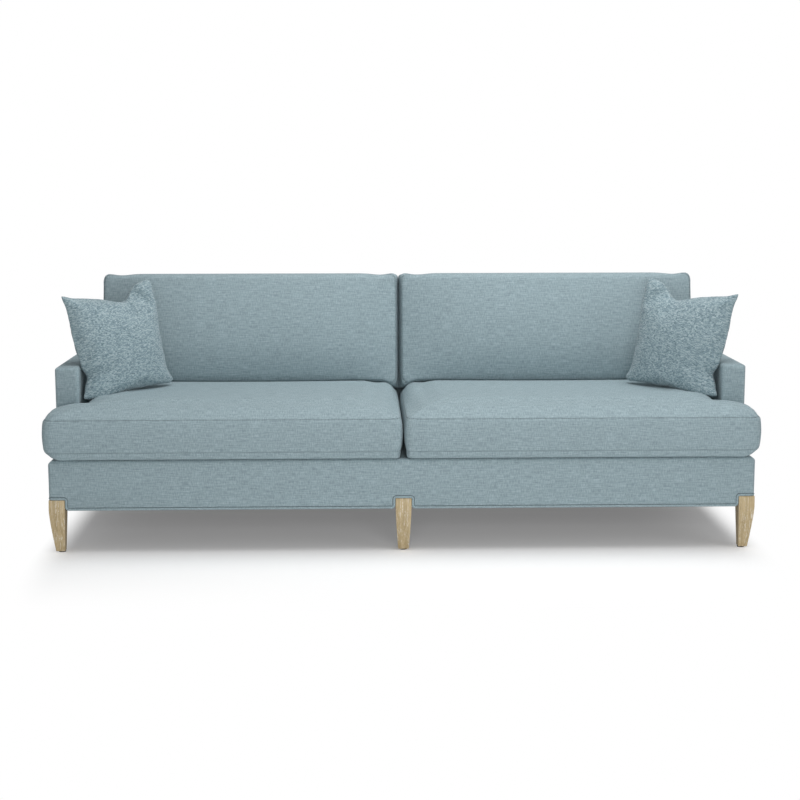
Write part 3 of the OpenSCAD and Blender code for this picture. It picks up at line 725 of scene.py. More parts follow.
@dataclass
class Finishes:
    """All the materials, made once."""

    linen: Material = field(default_factory=lambda: Linen().build())
    tweed: Material = field(default_factory=lambda: Tweed().build())
    oak: Material = field(default_factory=lambda: LimedOak().build())
    softwood: Material = field(default_factory=lambda: Softwood().build())
    webbing: Material = field(
        default_factory=lambda: Woven("webbing", (0.23, 0.19, 0.14), (0.10, 0.08, 0.06), 0.0022).build())
    under_cloth: Material = field(
        default_factory=lambda: Woven("under_cloth", (0.030, 0.030, 0.033), (0.012, 0.012, 0.014), 0.0011).build())
    nylon: Material = field(default_factory=lambda: Moulded().build())
    zinc: Material = field(default_factory=lambda: Zinc().build())


@dataclass
class Assembly:
    """A part of the sofa that is built with the shared materials."""

    finishes: Finishes


@dataclass
class HiddenFrame(Assembly):
    """The wood, webbing, bolts and glides, whose CAD shapes stay."""

    wood: tuple[str, ...] = ("front_rail", "back_rail", "side_rail_l", "side_rail_r", "centre_rail", "back_top_rail",
                             "back_post_l", "back_post_c", "back_post_r", "arm_frame_l", "arm_frame_r")

    def build(self) -> None:
        """Give the CAD nodes their materials."""
        looks = {name: (self.finishes.softwood, "frame_wood") for name in self.wood}
        looks.update({f"seat_webbing_{side}": (self.finishes.webbing, "webbing") for side in SIDES})
        looks.update({name: (self.finishes.under_cloth, "under_cloth") for name in ("deck_pad", "dust_cover")})
        for foot in FEET:
            looks[f"leg_bolt_{foot}"] = (self.finishes.zinc, "bolt_steel")
            looks[f"glide_{foot}"] = (self.finishes.nylon, "glide_nylon")
        for name, (material, slot) in looks.items():
            Piece(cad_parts[name]).coat(material)
            LOG.info("%s: CAD shape", name)


@dataclass
class Legs(Assembly):
    """The six tapered legs."""

    edge: float = 0.0022
    head: float = 0.185
    splay: float = 0.004

    def build(self) -> None:
        """Ease the edges of each leg and set the corner legs' feet out a little."""
        for foot in FEET:
            piece = Piece.copy_of(f"leg_{foot}", f"oak_leg_{foot}")
            piece.join_flat()
            piece.roll(self.edge, 3)
            points = piece.points()
            points[:, 0] += self.splay * slope(points[:, 2], self.head, 0.0) * round(points[:, 0].mean())
            piece.move_to(points)
            piece.smooth(30.0)
            piece.dress(self.finishes.oak, "leg_oak", "frame", f"leg_{foot}")


@dataclass
class Covers(Assembly):
    """The padded covers of the base, the arms and the back."""

    names: tuple[str, ...] = (
        "base_cover_front", "base_cover_back", "base_cover_l", "base_cover_r",
        "arm_cover_inner_l", "arm_cover_inner_r", "arm_cover_outer_l", "arm_cover_outer_r",
        "arm_cover_front_l", "arm_cover_front_r", "inside_back_cover", "outside_back_cover",
        "back_end_cover_l", "back_end_cover_r", "deck_cloth")
    edge: float = 0.0022
    fillet: float = 0.013
    pocket_top: float = 0.1957
    ends: float = 0.012
    mark_top: float = 0.2
    mark_depth: tuple[float, float] = (0.0003, 0.0015)
    arm_top: float = 0.609
    arm_pad: float = 0.008
    arm_pad_depth: float = 0.05
    deck: float = 0.322
    round: float = 0.022
    cuts: tuple[float, ...] = (20.0, 45.0, 70.0)
    taper: tuple[float, ...] = (-0.37, -0.35, -0.33, -0.31, -0.29)
    faces: dict[str, tuple[int, float]] = field(default_factory=lambda: {
        "base_cover_front": (1, FRONT), "base_cover_back": (1, BACK),
        "base_cover_l": (0, -HALF_X), "base_cover_r": (0, HALF_X)})

    def within(self, along: np.ndarray) -> np.ndarray:
        """Whether each place along a cover of the base is clear of its two ends."""
        return (along > along.min() + self.ends) & (along < along.max() - self.ends)

    def round_pockets(self, piece: Piece, across: int) -> None:
        """Round the upper corners of the pockets that the legs stand in.

        Args:
            piece: a cover of the base.
            across: the axis through the cover, 0 or 1.
        """
        along = 1 - across
        points = piece.points()
        inside = self.within(points[:, along])
        piece.only()
        bpy.ops.object.mode_set(mode="EDIT")
        bpy.ops.mesh.select_mode(type="EDGE")
        bpy.ops.mesh.select_all(action="DESELECT")
        bpy.ops.object.mode_set(mode="OBJECT")
        for edge in piece.object.data.edges:
            first = edge.vertices[0]
            a, b = (points[i] for i in edge.vertices)
            through = abs(a[across] - b[across]) > 0.002 and abs(a[along] - b[along]) < 1e-4
            level = max(abs(a[2] - self.pocket_top), abs(b[2] - self.pocket_top)) < 1e-3
            edge.select = bool(through and level and inside[first])
        bpy.ops.object.mode_set(mode="EDIT")
        bpy.ops.mesh.bevel(offset=self.fillet, segments=6, affect="EDGES")
        bpy.ops.mesh.select_mode(type="VERT")
        bpy.ops.object.mode_set(mode="OBJECT")

    def pad_arm(self, piece: Piece) -> None:
        """Fill an arm's top out.

        Args:
            piece: a cover of an arm.
        """
        points = piece.points()
        share = eased(slope(points[:, 2], self.arm_top - self.arm_pad_depth, self.arm_top))
        points[:, 2] += self.arm_pad * share
        piece.move_to(points)

    def round_base(self, piece: Piece) -> None:
        """Round the upper ends of the base at the front. The rounding fades out under the arms.

        Args:
            piece: the front cover or a side cover of the base.
        """
        planes = []
        for turn in self.cuts:
            lean = math.radians(turn)
            for way in SIDES.values():
                out = Vector((way * math.cos(lean), 0.0, math.sin(lean)))
                hub = Vector((way * (HALF_X - self.round), 0.0, self.deck - self.round))
                planes.append((hub + out * self.round, out))
        piece.cut(planes + [(Vector((0.0, place, 0.0)), Vector((0.0, 1.0, 0.0))) for place in self.taper])
        points = piece.points()
        share = slope(points[:, 1], self.taper[-1], self.taper[0])
        radius = self.round * share * (2.0 - share)
        hub = np.stack([np.sign(points[:, 0]) * (HALF_X - radius), self.deck - radius], axis=1)
        arm = points[:, (0, 2)] - hub
        corner = (np.abs(points[:, 0]) > HALF_X - radius) & (arm[:, 1] > 0.0)
        length = np.linalg.norm(arm, axis=1)
        moved = hub + arm * np.minimum(1.0, radius / np.maximum(length, 1e-9))[:, None]
        points[corner, 0] = moved[corner, 0]
        points[corner, 2] = moved[corner, 1]
        piece.move_to(points)

    def seam_shade_mark(self, piece: Piece, name: str) -> np.ndarray:
        """Mark the turned-in edge of the base's covers above the welt, where the linen paints shade into its colour.

        Args:
            piece: a cover.
            name: its CAD node.

        Returns:
            0 to 1 for each point.
        """
        points = piece.points()
        if name not in self.faces:
            return np.zeros(len(points))
        across, face = self.faces[name]
        deep = slope(np.abs(points[:, across] - face), *self.mark_depth)
        return deep * (points[:, 2] < self.mark_top) * self.within(points[:, 1 - across])

    def build(self) -> None:
        """Roll the edges of each cover in to its seams."""
        for name in self.names:
            piece = Piece.copy_of(name, f"linen_{name}")
            piece.join_flat()
            if name in self.faces:
                self.round_pockets(piece, self.faces[name][0])
            piece.roll(self.edge, 2)
            if name.startswith("arm_cover"):
                self.pad_arm(piece)
            elif name in self.faces and name != "base_cover_back":
                self.round_base(piece)
            piece.smooth(35.0)
            piece.lay_out()
            # Painted shade along the turned-in edge above the welt.
            piece.mark(self.seam_shade_mark(piece, name))
            piece.dress(self.finishes.linen, "linen", "frame", name)


@dataclass
class Welt(Assembly):
    """The covered cord round the foot of the base, stepping up over each leg."""

    radius: float = 0.005
    proud: float = 0.002
    bend: float = 0.008
    corner: float = 0.012
    low: float = 0.154
    high: float = 0.1904
    notch: float = 0.0597
    middle: float = 0.0327
    sides: int = 14
    arc: int = 6
    spacing: float = 0.04
    uneven: float = 0.03
    rim: float = 0.02

    def route(self) -> list[Vector]:
        """Find the corner points of the whole loop.

        Returns:
            Points along the front, the right end, the back and the left end.
        """
        inset = self.proud - self.radius
        x, y0, y1 = HALF_X + inset, FRONT - inset, BACK + inset
        inner, y2, y3 = HALF_X - self.notch, FRONT + self.notch, BACK - self.notch
        low, high = self.low, self.high
        half = [(-x, high), (-inner, high), (-inner, low), (-self.middle, low), (-self.middle, high)]
        front = [(px, y0, pz) for px, pz in half] + [(-px, y0, pz) for px, pz in reversed(half)]
        right = [(x, y2, high), (x, y2, low), (x, y3, low), (x, y3, high)]
        back = [(-px, y1, pz) for px, _, pz in front]
        left = [(-px, py, pz) for px, py, pz in reversed(right)]
        return [Vector(place) for place in front + right + back + left]

    def line(self) -> list[Vector]:
        """Bend each corner of the route to an arc.

        Returns:
            Points of the whole loop.
        """
        corners = self.route()
        out: list[Vector] = []
        for i, b in enumerate(corners):
            a, c = corners[i - 1], corners[(i + 1) % len(corners)]
            u, v = (a - b).normalized(), (c - b).normalized()
            r = self.corner if abs(u.z) < 0.5 and abs(v.z) < 0.5 else self.bend
            mid = b + r * (u + v)
            for k in range(self.arc + 1):
                t = QUARTER * k / self.arc
                out.append(mid - r * (u * math.sin(t) + v * math.cos(t)))
        return self.spaced(out)

    def spaced(self, points: list[Vector]) -> list[Vector]:
        """Fill long straights with points, so that the cord can vary.

        Args:
            points: points of the whole loop.

        Returns:
            The same loop with more points.
        """
        out: list[Vector] = []
        for a, b in zip(points, points[1:] + points[:1]):
            steps = max(1, int((b - a).length / self.spacing))
            out += [a.lerp(b, k / steps) for k in range(steps)]
        return out

    def outward(self, p: Vector) -> Vector:
        """Find the direction out of the base.

        Args:
            p: a point of the cord.

        Returns:
            A level direction of length 1.
        """
        y = p.y - 0.5 * (FRONT + BACK)
        past_x = max(0.0, abs(p.x) - (HALF_X - self.rim))
        past_y = max(0.0, abs(y) - (0.5 * (BACK - FRONT) - self.rim))
        return Vector((math.copysign(past_x, p.x), math.copysign(past_y, y), 0.0)).normalized()

    def build(self) -> None:
        """Sweep the cord and dress it."""
        points = self.line()
        count, sides = len(points), self.sides
        angles = 2.0 * np.pi * np.arange(sides) / sides
        ring = np.empty((count, sides, 3))
        along = [0.0]
        for i, (p, after) in enumerate(zip(points, points[1:] + points[:1])):
            ahead = (after - points[i - 1]).normalized()
            up = ahead.cross(self.outward(p)).normalized()
            side = up.cross(ahead).normalized()
            swell = self.radius * (1.0 + self.uneven * noise.noise(p * 31.0))
            ring[i] = [p + side * (swell * math.cos(a)) + up * (swell * math.sin(a)) for a in angles]
            along.append(along[-1] + (after - p).length)
        faces, uvs = [], []
        girth = 2.0 * math.pi * self.radius
        for i in range(count):
            j = (i + 1) % count
            for k in range(sides):
                m = (k + 1) % sides
                faces.append((i * sides + k, i * sides + m, j * sides + m, j * sides + k))
                g0, g1 = girth * k / sides, girth * (k + 1) / sides
                uvs += [(at + g, at - g) for at, g in (
                    (along[i], g0), (along[i], g1), (along[i + 1], g1), (along[i + 1], g0))]
        mesh = bpy.data.meshes.new("foot_welt")
        mesh.from_pydata(ring.reshape(-1, 3).tolist(), [], faces)
        layer = mesh.uv_layers.new(name=UV_NAME)
        layer.data.foreach_set("uv", (np.array(uvs) * math.sqrt(0.5)).astype(np.float32).ravel())
        piece = Piece.from_mesh("foot_welt", mesh)
        piece.edit(("normals_make_consistent", {"inside": False}))
        piece.soften()
        # Painted shade along the top of the cord, where it meets the cover.
        piece.mark(np.tile(slope(-np.sin(angles), 0.55, 0.90), count))
        piece.dress(self.finishes.linen, "linen", "frame", "welt_front", "welt_back", "welt_l", "welt_r")


@dataclass
class Cushion:
    """A padded piece: its CAD soft solid, drawn in, blown up as cloth and seamed. By itself, a seat cushion."""

    side: str
    slot: str = "linen"
    node_name: str = "seat_cushion_{}"
    body_name: str = "seat_{}"
    piece_name: str = "seat_linen_{}"
    voxel: float = 0.009
    fill: float = 0.8
    shrink: float = 0.001
    cap: float = 0.006
    pressure: float = 3.0
    slack: float = 0.0
    firm: float = 0.8
    hold: float = 0.0117
    # Painted shade along each seam: its strength on each seam and its width.
    seam_shade: tuple[float, ...] = (0.45, 1.35)
    seam_shade_width: float = 0.0020
    crease: float = 0.3553
    rest: float = 0.3235
    under_depth: float = 0.75
    under_ends: tuple[float, float] = (1.198, 1.168)
    ear: float = 0.009
    ear_crown: float = 0.0065
    ear_ends: tuple[float, float] = (1.02, 1.18)
    ear_front: tuple[float, float] = (-0.30, -0.35)
    arm_front: tuple[float, float] = (-0.31, -0.26)
    arm_rear: tuple[float, float] = (0.16, 0.02)
    towards_rear: tuple[float, float] = (-0.32, -0.02)
    shoulders: tuple[Bump, ...] = (Bump(0.006, 0.482, 0.014), Bump(0.004, 0.348, 0.010))
    beside_arm: Bump = Bump(0.019, 1.068, 0.075)
    inner_rear: Bump = Bump(0.013, 0.04, 0.03)
    piece: Piece | None = None
    start: np.ndarray | None = None

    @property
    def node(self) -> str:
        """The CAD node that the piece stands for."""
        return self.node_name.format(self.side)

    @property
    def axis(self) -> Vector:
        """The direction across the seams."""
        return Vector((0.0, 0.0, 1.0))

    @property
    def turn(self) -> Matrix:
        """Turns the sofa's axes into the cushion's own."""
        return Matrix.Identity(3)

    def seams(self) -> tuple[float, ...]:
        """Places of the seams along the axis."""
        return (0.3495, 0.4613)

    def height(self, points: np.ndarray) -> np.ndarray:
        """Distance of points along the axis."""
        return points @ np.array(self.axis)

    def near_seams(self, points: np.ndarray, width: float, strengths: Sequence[float]) -> np.ndarray:
        """Measure how near points are to the seams.

        Args:
            points: the points.
            width: the distance at which the result is 0.
            strengths: the result on each seam.

        Returns:
            The largest result at each point.
        """
        height = self.height(points)
        return np.max([strength * slope(np.abs(height - seam), width, 0.0)
                       for seam, strength in zip(self.seams(), strengths)], axis=0)

    def prepare(self) -> None:
        """Copy the solid, remesh it, ease its facets and draw it in a little."""
        self.piece = Piece.copy_of(self.node, self.piece_name.format(self.side))
        self.piece.modify("REMESH", mode="VOXEL", voxel_size=self.voxel, adaptivity=0.0)
        for _ in range(4):
            self.piece.modify("SMOOTH", factor=0.55, iterations=2)
            self.piece.modify("SMOOTH", factor=-0.58, iterations=2)
        self.draw_in()

    def draw_in(self) -> None:
        """Start smaller than the solid, because the cloth swells."""
        self.start = self.piece.points() - self.piece.normals() * self.shrink
        self.piece.move_to(self.start)

    def sew(self) -> None:
        """Hold the seams and let the cloth swell between them."""
        firm = self.near_seams(self.start, self.hold, [self.firm] * len(self.seams()))
        group = self.piece.object.vertex_groups.new(name="held")
        for index in np.nonzero(firm > 0.02)[0]:
            group.add([int(index)], float(firm[index]), "REPLACE")
        cloth = self.piece.object.modifiers.new("cloth", "CLOTH")
        rules = cloth.settings
        rules.quality = 4
        rules.mass = 0.4
        rules.tension_stiffness = rules.compression_stiffness = 12.0
        rules.shear_stiffness = 6.0
        rules.bending_stiffness = 1.0
        rules.air_damping = 4.0
        rules.use_pressure = True
        rules.uniform_pressure_force = self.pressure
        rules.shrink_min = -self.slack
        rules.vertex_group_mass = "held"
        rules.effector_weights.gravity = 0.0
        cloth.collision_settings.use_collision = False
        cloth.point_cache.frame_start = 1
        cloth.point_cache.frame_end = FRAMES

    def settle(self) -> None:
        """Apply the cloth and cap how far it moved."""
        self.piece.only()
        if self.piece.object.modifiers.get("cloth"):
            bpy.ops.object.modifier_apply(modifier="cloth")
        move = self.piece.points() - self.start
        length = np.linalg.norm(move, axis=1, keepdims=True)
        LOG.info("%s moved up to %.1f mm", self.piece.object.name, 1000.0 * float(length.max()))
        move *= np.minimum(1.0, self.cap / np.maximum(length, 1e-9))
        self.piece.move_to(self.start + move)
        self.piece.object.vertex_groups.clear()
        self.piece.modify("SMOOTH", factor=0.5, iterations=2)

    def shape(self) -> None:
        """Fill out the ears, and the crown beside the arm and next to the middle at the rear."""
        points = self.piece.points()
        x, y = np.abs(points[:, 0]), points[:, 1]
        ear = eased(slope(x, *self.ear_ends)) * slope(y, *self.ear_front)
        full = self.ear + sum(shoulder.over(points[:, 2]) for shoulder in self.shoulders)
        points[:, 0] += np.sign(points[:, 0]) * full * ear
        points[:, 1] -= self.ear * 0.5 * ear
        crown = (self.ear_crown * ear + self.inner_rear.over(x) * slope(y, *self.towards_rear)
                 + self.beside_arm.over(x) * slope(y, *self.arm_front) * slope(y, *self.arm_rear))
        seam = self.seams()[1]
        points[:, 2] += slope(points[:, 2], seam, seam + 0.014) * crown
        self.hang(points)
        self.piece.move_to(points)

    def hang(self, points: np.ndarray) -> None:
        """Let the lower panel hang steeply from its seam at the front, down to the deck.

        Args:
            points: the piece's points, which are changed.
        """
        x = np.abs(points[:, 0])
        seam = np.abs(points[:, 2] - self.crease) < 0.007
        places = np.linspace(x.min() + 0.02, x.max() - 0.03, 50)
        lines = [points[seam & (np.abs(x - place) < 0.02), 1].min() for place in places]
        inset = points[:, 1] - np.interp(x, places, lines)
        below = self.crease - (self.crease - self.rest) * (1.0 - np.exp(-np.maximum(inset, 0.0) / 0.003))
        under = (points[:, 2] < self.crease) & (inset < self.under_depth)
        inner = slope(x, *self.under_ends) * slope(inset, self.under_depth, 0.15)
        points[:, 2] -= np.where(under, np.maximum(points[:, 2] - below, 0.0), 0.0) * inner

    def finish(self, material: Material) -> None:
        """Shape and divide the piece, cut its seams in and dress it.

        Args:
            material: its finish.
        """
        self.shape()
        self.piece.divide(1)
        for seam in self.seams():
            self.groove(seam)
        self.close(material)

    def close(self, material: Material) -> None:
        """Mark the seams, lay the cloth out and dress the piece.

        Args:
            material: its finish.
        """
        # Painted shade: the materials darken the colour along the seams by this mark.
        self.piece.mark(self.near_seams(self.piece.points(), self.seam_shade_width, self.seam_shade))
        self.piece.lay_out(self.turn)
        self.piece.soften()
        self.piece.dress(material, self.slot, self.body_name.format(self.side), self.node)

    def groove(self, seam: float, half: float = 0.0022, depth: float = 0.0022) -> None:
        """Cut a seam line round the piece and sink it.

        Args:
            seam: its place along the axis.
            half: half the width of the groove.
            depth: how far it sinks.
        """
        self.piece.cut([(self.axis * (seam + offset), self.axis) for offset in (-half, 0.0, half)])
        points = self.piece.points()
        middle = np.abs(self.height(points) - seam) < 1e-5
        points[middle] -= self.piece.normals()[middle] * depth
        self.piece.move_to(points)


@dataclass
class BackCushion(Cushion):
    """A back cushion, which leans on the inside back and beds down on its seat cushion."""

    node_name: str = "back_cushion_{}"
    body_name: str = "back_cushion_body_{}"
    piece_name: str = "back_linen_{}"
    # Painted shade along both seams, at full strength.
    seam_shade: tuple[float, ...] = (1.0, 1.0)
    foot: Triple = (0.0, 0.27426, 0.322)
    thick: tuple[float, float] = (0.0183, 0.1583)
    bed: float = 0.15
    most_drop: float = 0.034
    reach: float = 0.012
    sag: Bump = Bump(0.008, 0.0, 0.022)
    tip: Bump = Bump(0.0085, 0.0, 0.03)
    dip: Bump = Bump(0.006, 0.07, 0.04)
    crown: float = 0.068
    belly: float = 0.5
    gap: float = 0.0003
    meet_depth: float = 0.034
    meet_share: float = 0.74
    outer_spread: float = 0.00325
    inner_spread: tuple[float, float] = (-0.002, 0.009)
    seat: Cushion | None = None

    @property
    def axis(self) -> Vector:
        """The direction out of the inside back."""
        return Vector((0.0, -math.cos(RAKE), math.sin(RAKE)))

    @property
    def turn(self) -> Matrix:
        """Stands the cushion upright."""
        return Matrix.Rotation(RAKE, 3, "X")

    def seams(self) -> tuple[float, ...]:
        """Places of the seams along the axis."""
        return tuple(Vector(self.foot).dot(self.axis) + thick for thick in self.thick)

    def shape(self) -> None:
        """Bed the lower edge down on the seat, draw out the upper corners and fill the front."""
        points = self.piece.points()
        up = np.array((0.0, math.sin(RAKE), math.cos(RAKE)))
        rise, x = points @ up, np.abs(points[:, 0])
        low, high, inner, outer = rise.min(), rise.max(), x.min(), x.max()
        drop = self.drop(points, x, rise < low + 0.05) + self.sag.over(x - inner)
        points -= up * (drop * slope(rise, low + self.bed, low) ** 1.6)[:, None]
        ends = np.minimum(x - inner, outer - x)
        near_top = slope(rise, high - 0.06, high) ** 1.5
        points += up * ((self.tip.over(ends) - self.dip.over(ends)) * near_top)[:, None]
        outward = np.sign(points[:, 0] - 0.5 * (points[:, 0].min() + points[:, 0].max()))
        spread = np.where(x > 0.5 * (inner + outer), self.outer_spread * (1.0 + near_top),
                          self.inner_spread[0] + self.inner_spread[1] * near_top)
        points[:, 0] += outward * spread * hump(ends, 0.0, 0.03)
        self.meet(points, high - rise)
        crown = self.height(points) - self.seams()[1]
        upright = self.profile(slope(rise, low, high))
        full = self.crown * upright * (1.0 - np.abs(2.0 * slope(x, inner, outer) - 1.0) ** 2.8)
        points += np.outer((full - crown) * 0.9 * slope(crown, 0.0, 0.012), np.array(self.axis))
        self.piece.move_to(points)

    def drop(self, points: np.ndarray, x: np.ndarray, low: np.ndarray) -> np.ndarray:
        """Find how far the lower edge has to go down to lie on the seat cushion.

        Args:
            points: the piece's points.
            x: their distances from the sofa's middle.
            low: which of them are near the lower edge.

        Returns:
            The distance at each point.
        """
        front = low & (self.height(points) > self.seams()[1] - 0.03)
        seat = self.seat.piece.points()
        places = np.linspace(x.min(), x.max(), 60)
        drops = np.zeros(len(places))
        for i, place in enumerate(places):
            edge = points[front & (np.abs(x - place) < self.reach)]
            if len(edge) == 0:
                continue
            lowest = edge[edge[:, 2].argmin()]
            beside = np.abs(np.abs(seat[:, 0]) - place) < self.reach
            under = seat[beside & (np.abs(seat[:, 1] - lowest[1]) < self.reach)]
            if len(under):
                drops[i] = max(0.0, lowest[2] - under[:, 2].max() - 0.0005)
        drops = np.convolve(np.pad(drops, 2, mode="edge"), np.ones(5) / 5.0, mode="valid")
        return np.interp(x, places, np.minimum(drops, self.most_drop))

    def profile(self, rise: np.ndarray) -> np.ndarray:
        """Find how full the front is from its foot to its top.

        Args:
            rise: 0 at the foot and 1 at the top.

        Returns:
            1 at the belly and 0 at both ends.
        """
        over_belly, under_belly = slope(rise, self.belly, 1.0), slope(rise, self.belly, 0.0)
        return 1.0 - 0.42 * over_belly ** 1.5 - 0.58 * over_belly ** 22.0 - under_belly ** 2.9

    def meet(self, points: np.ndarray, below_top: np.ndarray) -> None:
        """Swell the inner end until it nearly meets the other back cushion.

        Args:
            points: the piece's points, which are changed.
            below_top: how far each point is below the top edge.
        """
        x = np.abs(points[:, 0])
        low, high = self.seams()
        across = slope(self.height(points), low, low + self.meet_share * (high - low))
        bow = np.clip(6.4 * across * (1.0 - across), 0.0, 1.0)
        bow *= slope(x - x.min(), self.meet_depth, self.meet_depth - 0.020)
        bow *= slope(below_top, 0.005, 0.015)
        points[:, 0] = np.sign(points[:, 0]) * np.maximum(x - (x - self.gap) * bow, self.gap)


@dataclass
class Pillow(Cushion):
    """A knife-edge pillow, in two panels that meet in one seam."""

    slot: str = "pillow_weave"
    node_name: str = "pillow_{}"
    body_name: str = "pillow_body_{}"
    piece_name: str = "pillow_{}_tweed"
    fill: float = 0.6
    cap: float = 0.012
    pressure: float = 4.0
    slack: float = 0.015
    firm: float = 0.9
    hold: float = 0.004
    # Painted shade along the one seam: its strength and its width.
    seam_shade: tuple[float, ...] = (1.0,)
    seam_shade_width: float = 0.0012
    turned: float = 43.0
    leaned: float = 10.5
    rolled: float = 6.5
    middle: Triple = (1.003, -0.105, 0.689)
    half: float = 0.185
    top_at: tuple[float, ...] = (-1.0, -0.8, -0.35, 0.0, 0.25, 0.36, 0.44, 0.50, 0.58, 0.66, 0.8, 1.0)
    top_lift: tuple[float, ...] = (
        0.0054, 0.0, -0.006, -0.004, -0.003, 0.004, 0.024, 0.034, 0.035, 0.030, 0.016, 0.009)
    foot_at: tuple[float, ...] = (-1.0, -0.6, 0.2, 0.85, 1.0)
    foot_sink: tuple[float, ...] = (0.010, 0.011, 0.012, 0.010, 0.002)

    @property
    def turn(self) -> Matrix:
        """Stands the pillow upright and square to the front.

        Returns:
            The turn from the sofa's axes to the pillow's own.
        """
        way = SIDES[self.side]
        stand = (Matrix.Rotation(-way * math.radians(self.turned), 3, "Z")
                 @ Matrix.Rotation(math.radians(-self.leaned), 3, "X")
                 @ Matrix.Rotation(way * math.radians(self.rolled), 3, "Y"))
        return stand.transposed()

    @property
    def axis(self) -> Vector:
        """The direction through the pillow, rear to front."""
        return self.turn.transposed() @ Vector((0.0, -1.0, 0.0))

    def seams(self) -> tuple[float, ...]:
        """The one seam's place along the axis."""
        height = self.height(Piece(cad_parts[self.node]).points())
        return (0.5 * (height.min() + height.max()),)

    def prepare(self) -> None:
        """Copy the solid, make its cells whole again and divide them."""
        self.piece = Piece.copy_of(self.node, self.piece_name.format(self.side))
        self.piece.edit(("tris_convert_to_quads", {
            "face_threshold": math.pi, "shape_threshold": math.pi}))
        self.piece.divide(2)
        self.pull_about()
        self.draw_in()

    def pull_about(self) -> None:
        """Give the outline its fuller inner side, its bent outer corner and the steep wing beside the chop.

        Places are measured from the pillow's middle in halves of its width, with s towards the sofa's
        middle and t up.
        """
        turn = np.array(self.turn)
        centre = np.array(self.middle) * (SIDES[self.side], 1.0, 1.0)
        own = (self.piece.points() - centre) @ turn.T
        way = -SIDES[self.side]
        s, t = own[:, 0] * way / self.half, own[:, 2] / self.half
        inner, outer = slope(s, -0.3, 1.0) ** 1.6, slope(s, 0.3, -1.0) ** 1.6
        low_out = hump(s, -1.0, 0.22) * hump(t, -1.0, 0.2)
        across = (inner * (0.012 * hump(t, 0.5, 0.4) + 0.006 * hump(t, 0.0, 0.4) - 0.004 * hump(t, -0.72, 0.16))
                  - outer * (0.012 * hump(t, 0.2, 0.45) - 0.017 * hump(t, -0.52, 0.12)) - 0.015 * low_out
                  + 0.010 * hump(s, 1.0, 0.14) * hump(t, -1.0, 0.14)
                  + 0.004 * hump(s, 1.0, 0.2) * hump(t, 1.0, 0.2))
        up = (self.rise(s) * slope(t, -0.1, 0.95) ** 1.6 + 0.0195 * low_out
              - np.interp(s, self.foot_at, self.foot_sink) * hump(t, -1.0, 0.28))
        along, beside = self.fold(s, t)
        pinch = 1.0 - 0.62 * hump(beside, 0.0, 0.085) * slope(along, 0.55, 0.0)
        own[:, 0] += across * way
        own[:, 2] += up
        own[:, 1] *= pinch * (1.0 + 0.18 * hump(s, 0.72, 0.2) * hump(t, 0.55, 0.3))
        own[:, 1] -= 0.018 * hump(t, -1.0, 0.3) * np.clip(1.0 - s ** 4, 0.0, 1.0)
        own[:, 1] += (1.0 - pinch) * 0.020 - 0.010 * hump(s, 0.78, 0.16) * hump(t, 0.85, 0.25)
        blunt = (0.005 * hump(np.abs(s), 1.0, 0.07) * hump(np.abs(t), 1.0, 0.07)
                 - 0.010 * hump(s, -1.0, 0.11) * hump(t, 1.0, 0.11))
        for side in (0, 2):
            own[:, side] -= np.sign(own[:, side]) * blunt
        self.piece.move_to(own @ turn + centre)

    def rise(self, s: np.ndarray) -> np.ndarray:
        """Find how far the top edge goes up or down, as a smooth line.

        Args:
            s: places across the pillow.

        Returns:
            The distance at each place.
        """
        place = np.linspace(-1.4, 1.4, 281)
        line = np.interp(place, self.top_at, self.top_lift)
        spread = hump(np.arange(-12, 13), 0.0, 5.5)
        line = np.convolve(np.pad(line, 12, mode="edge"), spread / spread.sum(), mode="valid")
        return np.interp(s, place, line)

    def fold(self, s: np.ndarray, t: np.ndarray) -> tuple[np.ndarray, np.ndarray]:
        """Measure from the fold that runs in from the chop.

        Args:
            s: places across the pillow.
            t: places up the pillow.

        Returns:
            Distances along the fold and beside it.
        """
        start, ahead, beside = np.array((0.38, 0.86)), np.array((0.66, -0.75)), np.array((0.75, 0.66))
        rel = np.stack([s, t], axis=1) - start
        along = rel @ ahead
        return np.maximum(along, 0.0), rel @ beside + np.minimum(along, 0.0) * 0.2

    def draw_in(self) -> None:
        """Start a little flatter than the solid and keep its outline."""
        points = self.piece.points()
        height = self.height(points) - self.seams()[0]
        self.start = points - np.outer(height * 0.06, np.array(self.axis))
        self.piece.move_to(self.start)

    def finish(self, material: Material) -> None:
        """Divide the piece, mark its seam for painted shade and dress it."""
        self.piece.divide(1)
        self.close(material)


@dataclass
class SoftGoods(Assembly):
    """The seat cushions, back cushions and pillows, blown up together."""

    frames: int = FRAMES

    def build(self) -> None:
        """Make all the padded pieces."""
        made: list[tuple[Cushion, Material]] = []
        for side in SIDES:
            seat = Cushion(side)
            made += [(seat, self.finishes.linen), (BackCushion(side, seat=seat), self.finishes.linen),
                     (Pillow(side), self.finishes.tweed)]
        for cushion, _ in made:
            cushion.prepare()
        for cushion, _ in made:
            cushion.sew()
        for step in range(1, self.frames + 1):
            bpy.context.scene.frame_set(step)
        for cushion, _ in made:
            cushion.settle()
        for cushion, material in made:
            cushion.finish(material)
        bpy.context.scene.frame_set(1)


@dataclass(frozen=True)
class Lamp:
    """A soft box that faces the sofa: its place, its width and height in metres, and its power in watts."""

    name: str
    place: Triple
    size: tuple[float, float]
    power: float
    towards: Triple = (0.0, 0.0, 0.35)

    def build(self) -> None:
        """Hang the lamp."""
        data = bpy.data.lights.new(self.name, "AREA")
        data.shape = "RECTANGLE"
        data.size, data.size_y = self.size
        data.energy = self.power
        lamp = bpy.data.objects.new(self.name, data)
        lamp.visible_camera = False
        lamp.location = self.place
        lamp.rotation_euler = (Vector(self.towards) - Vector(self.place)).to_track_quat("-Z", "Y").to_euler()
        bpy.context.scene.collection.objects.link(lamp)


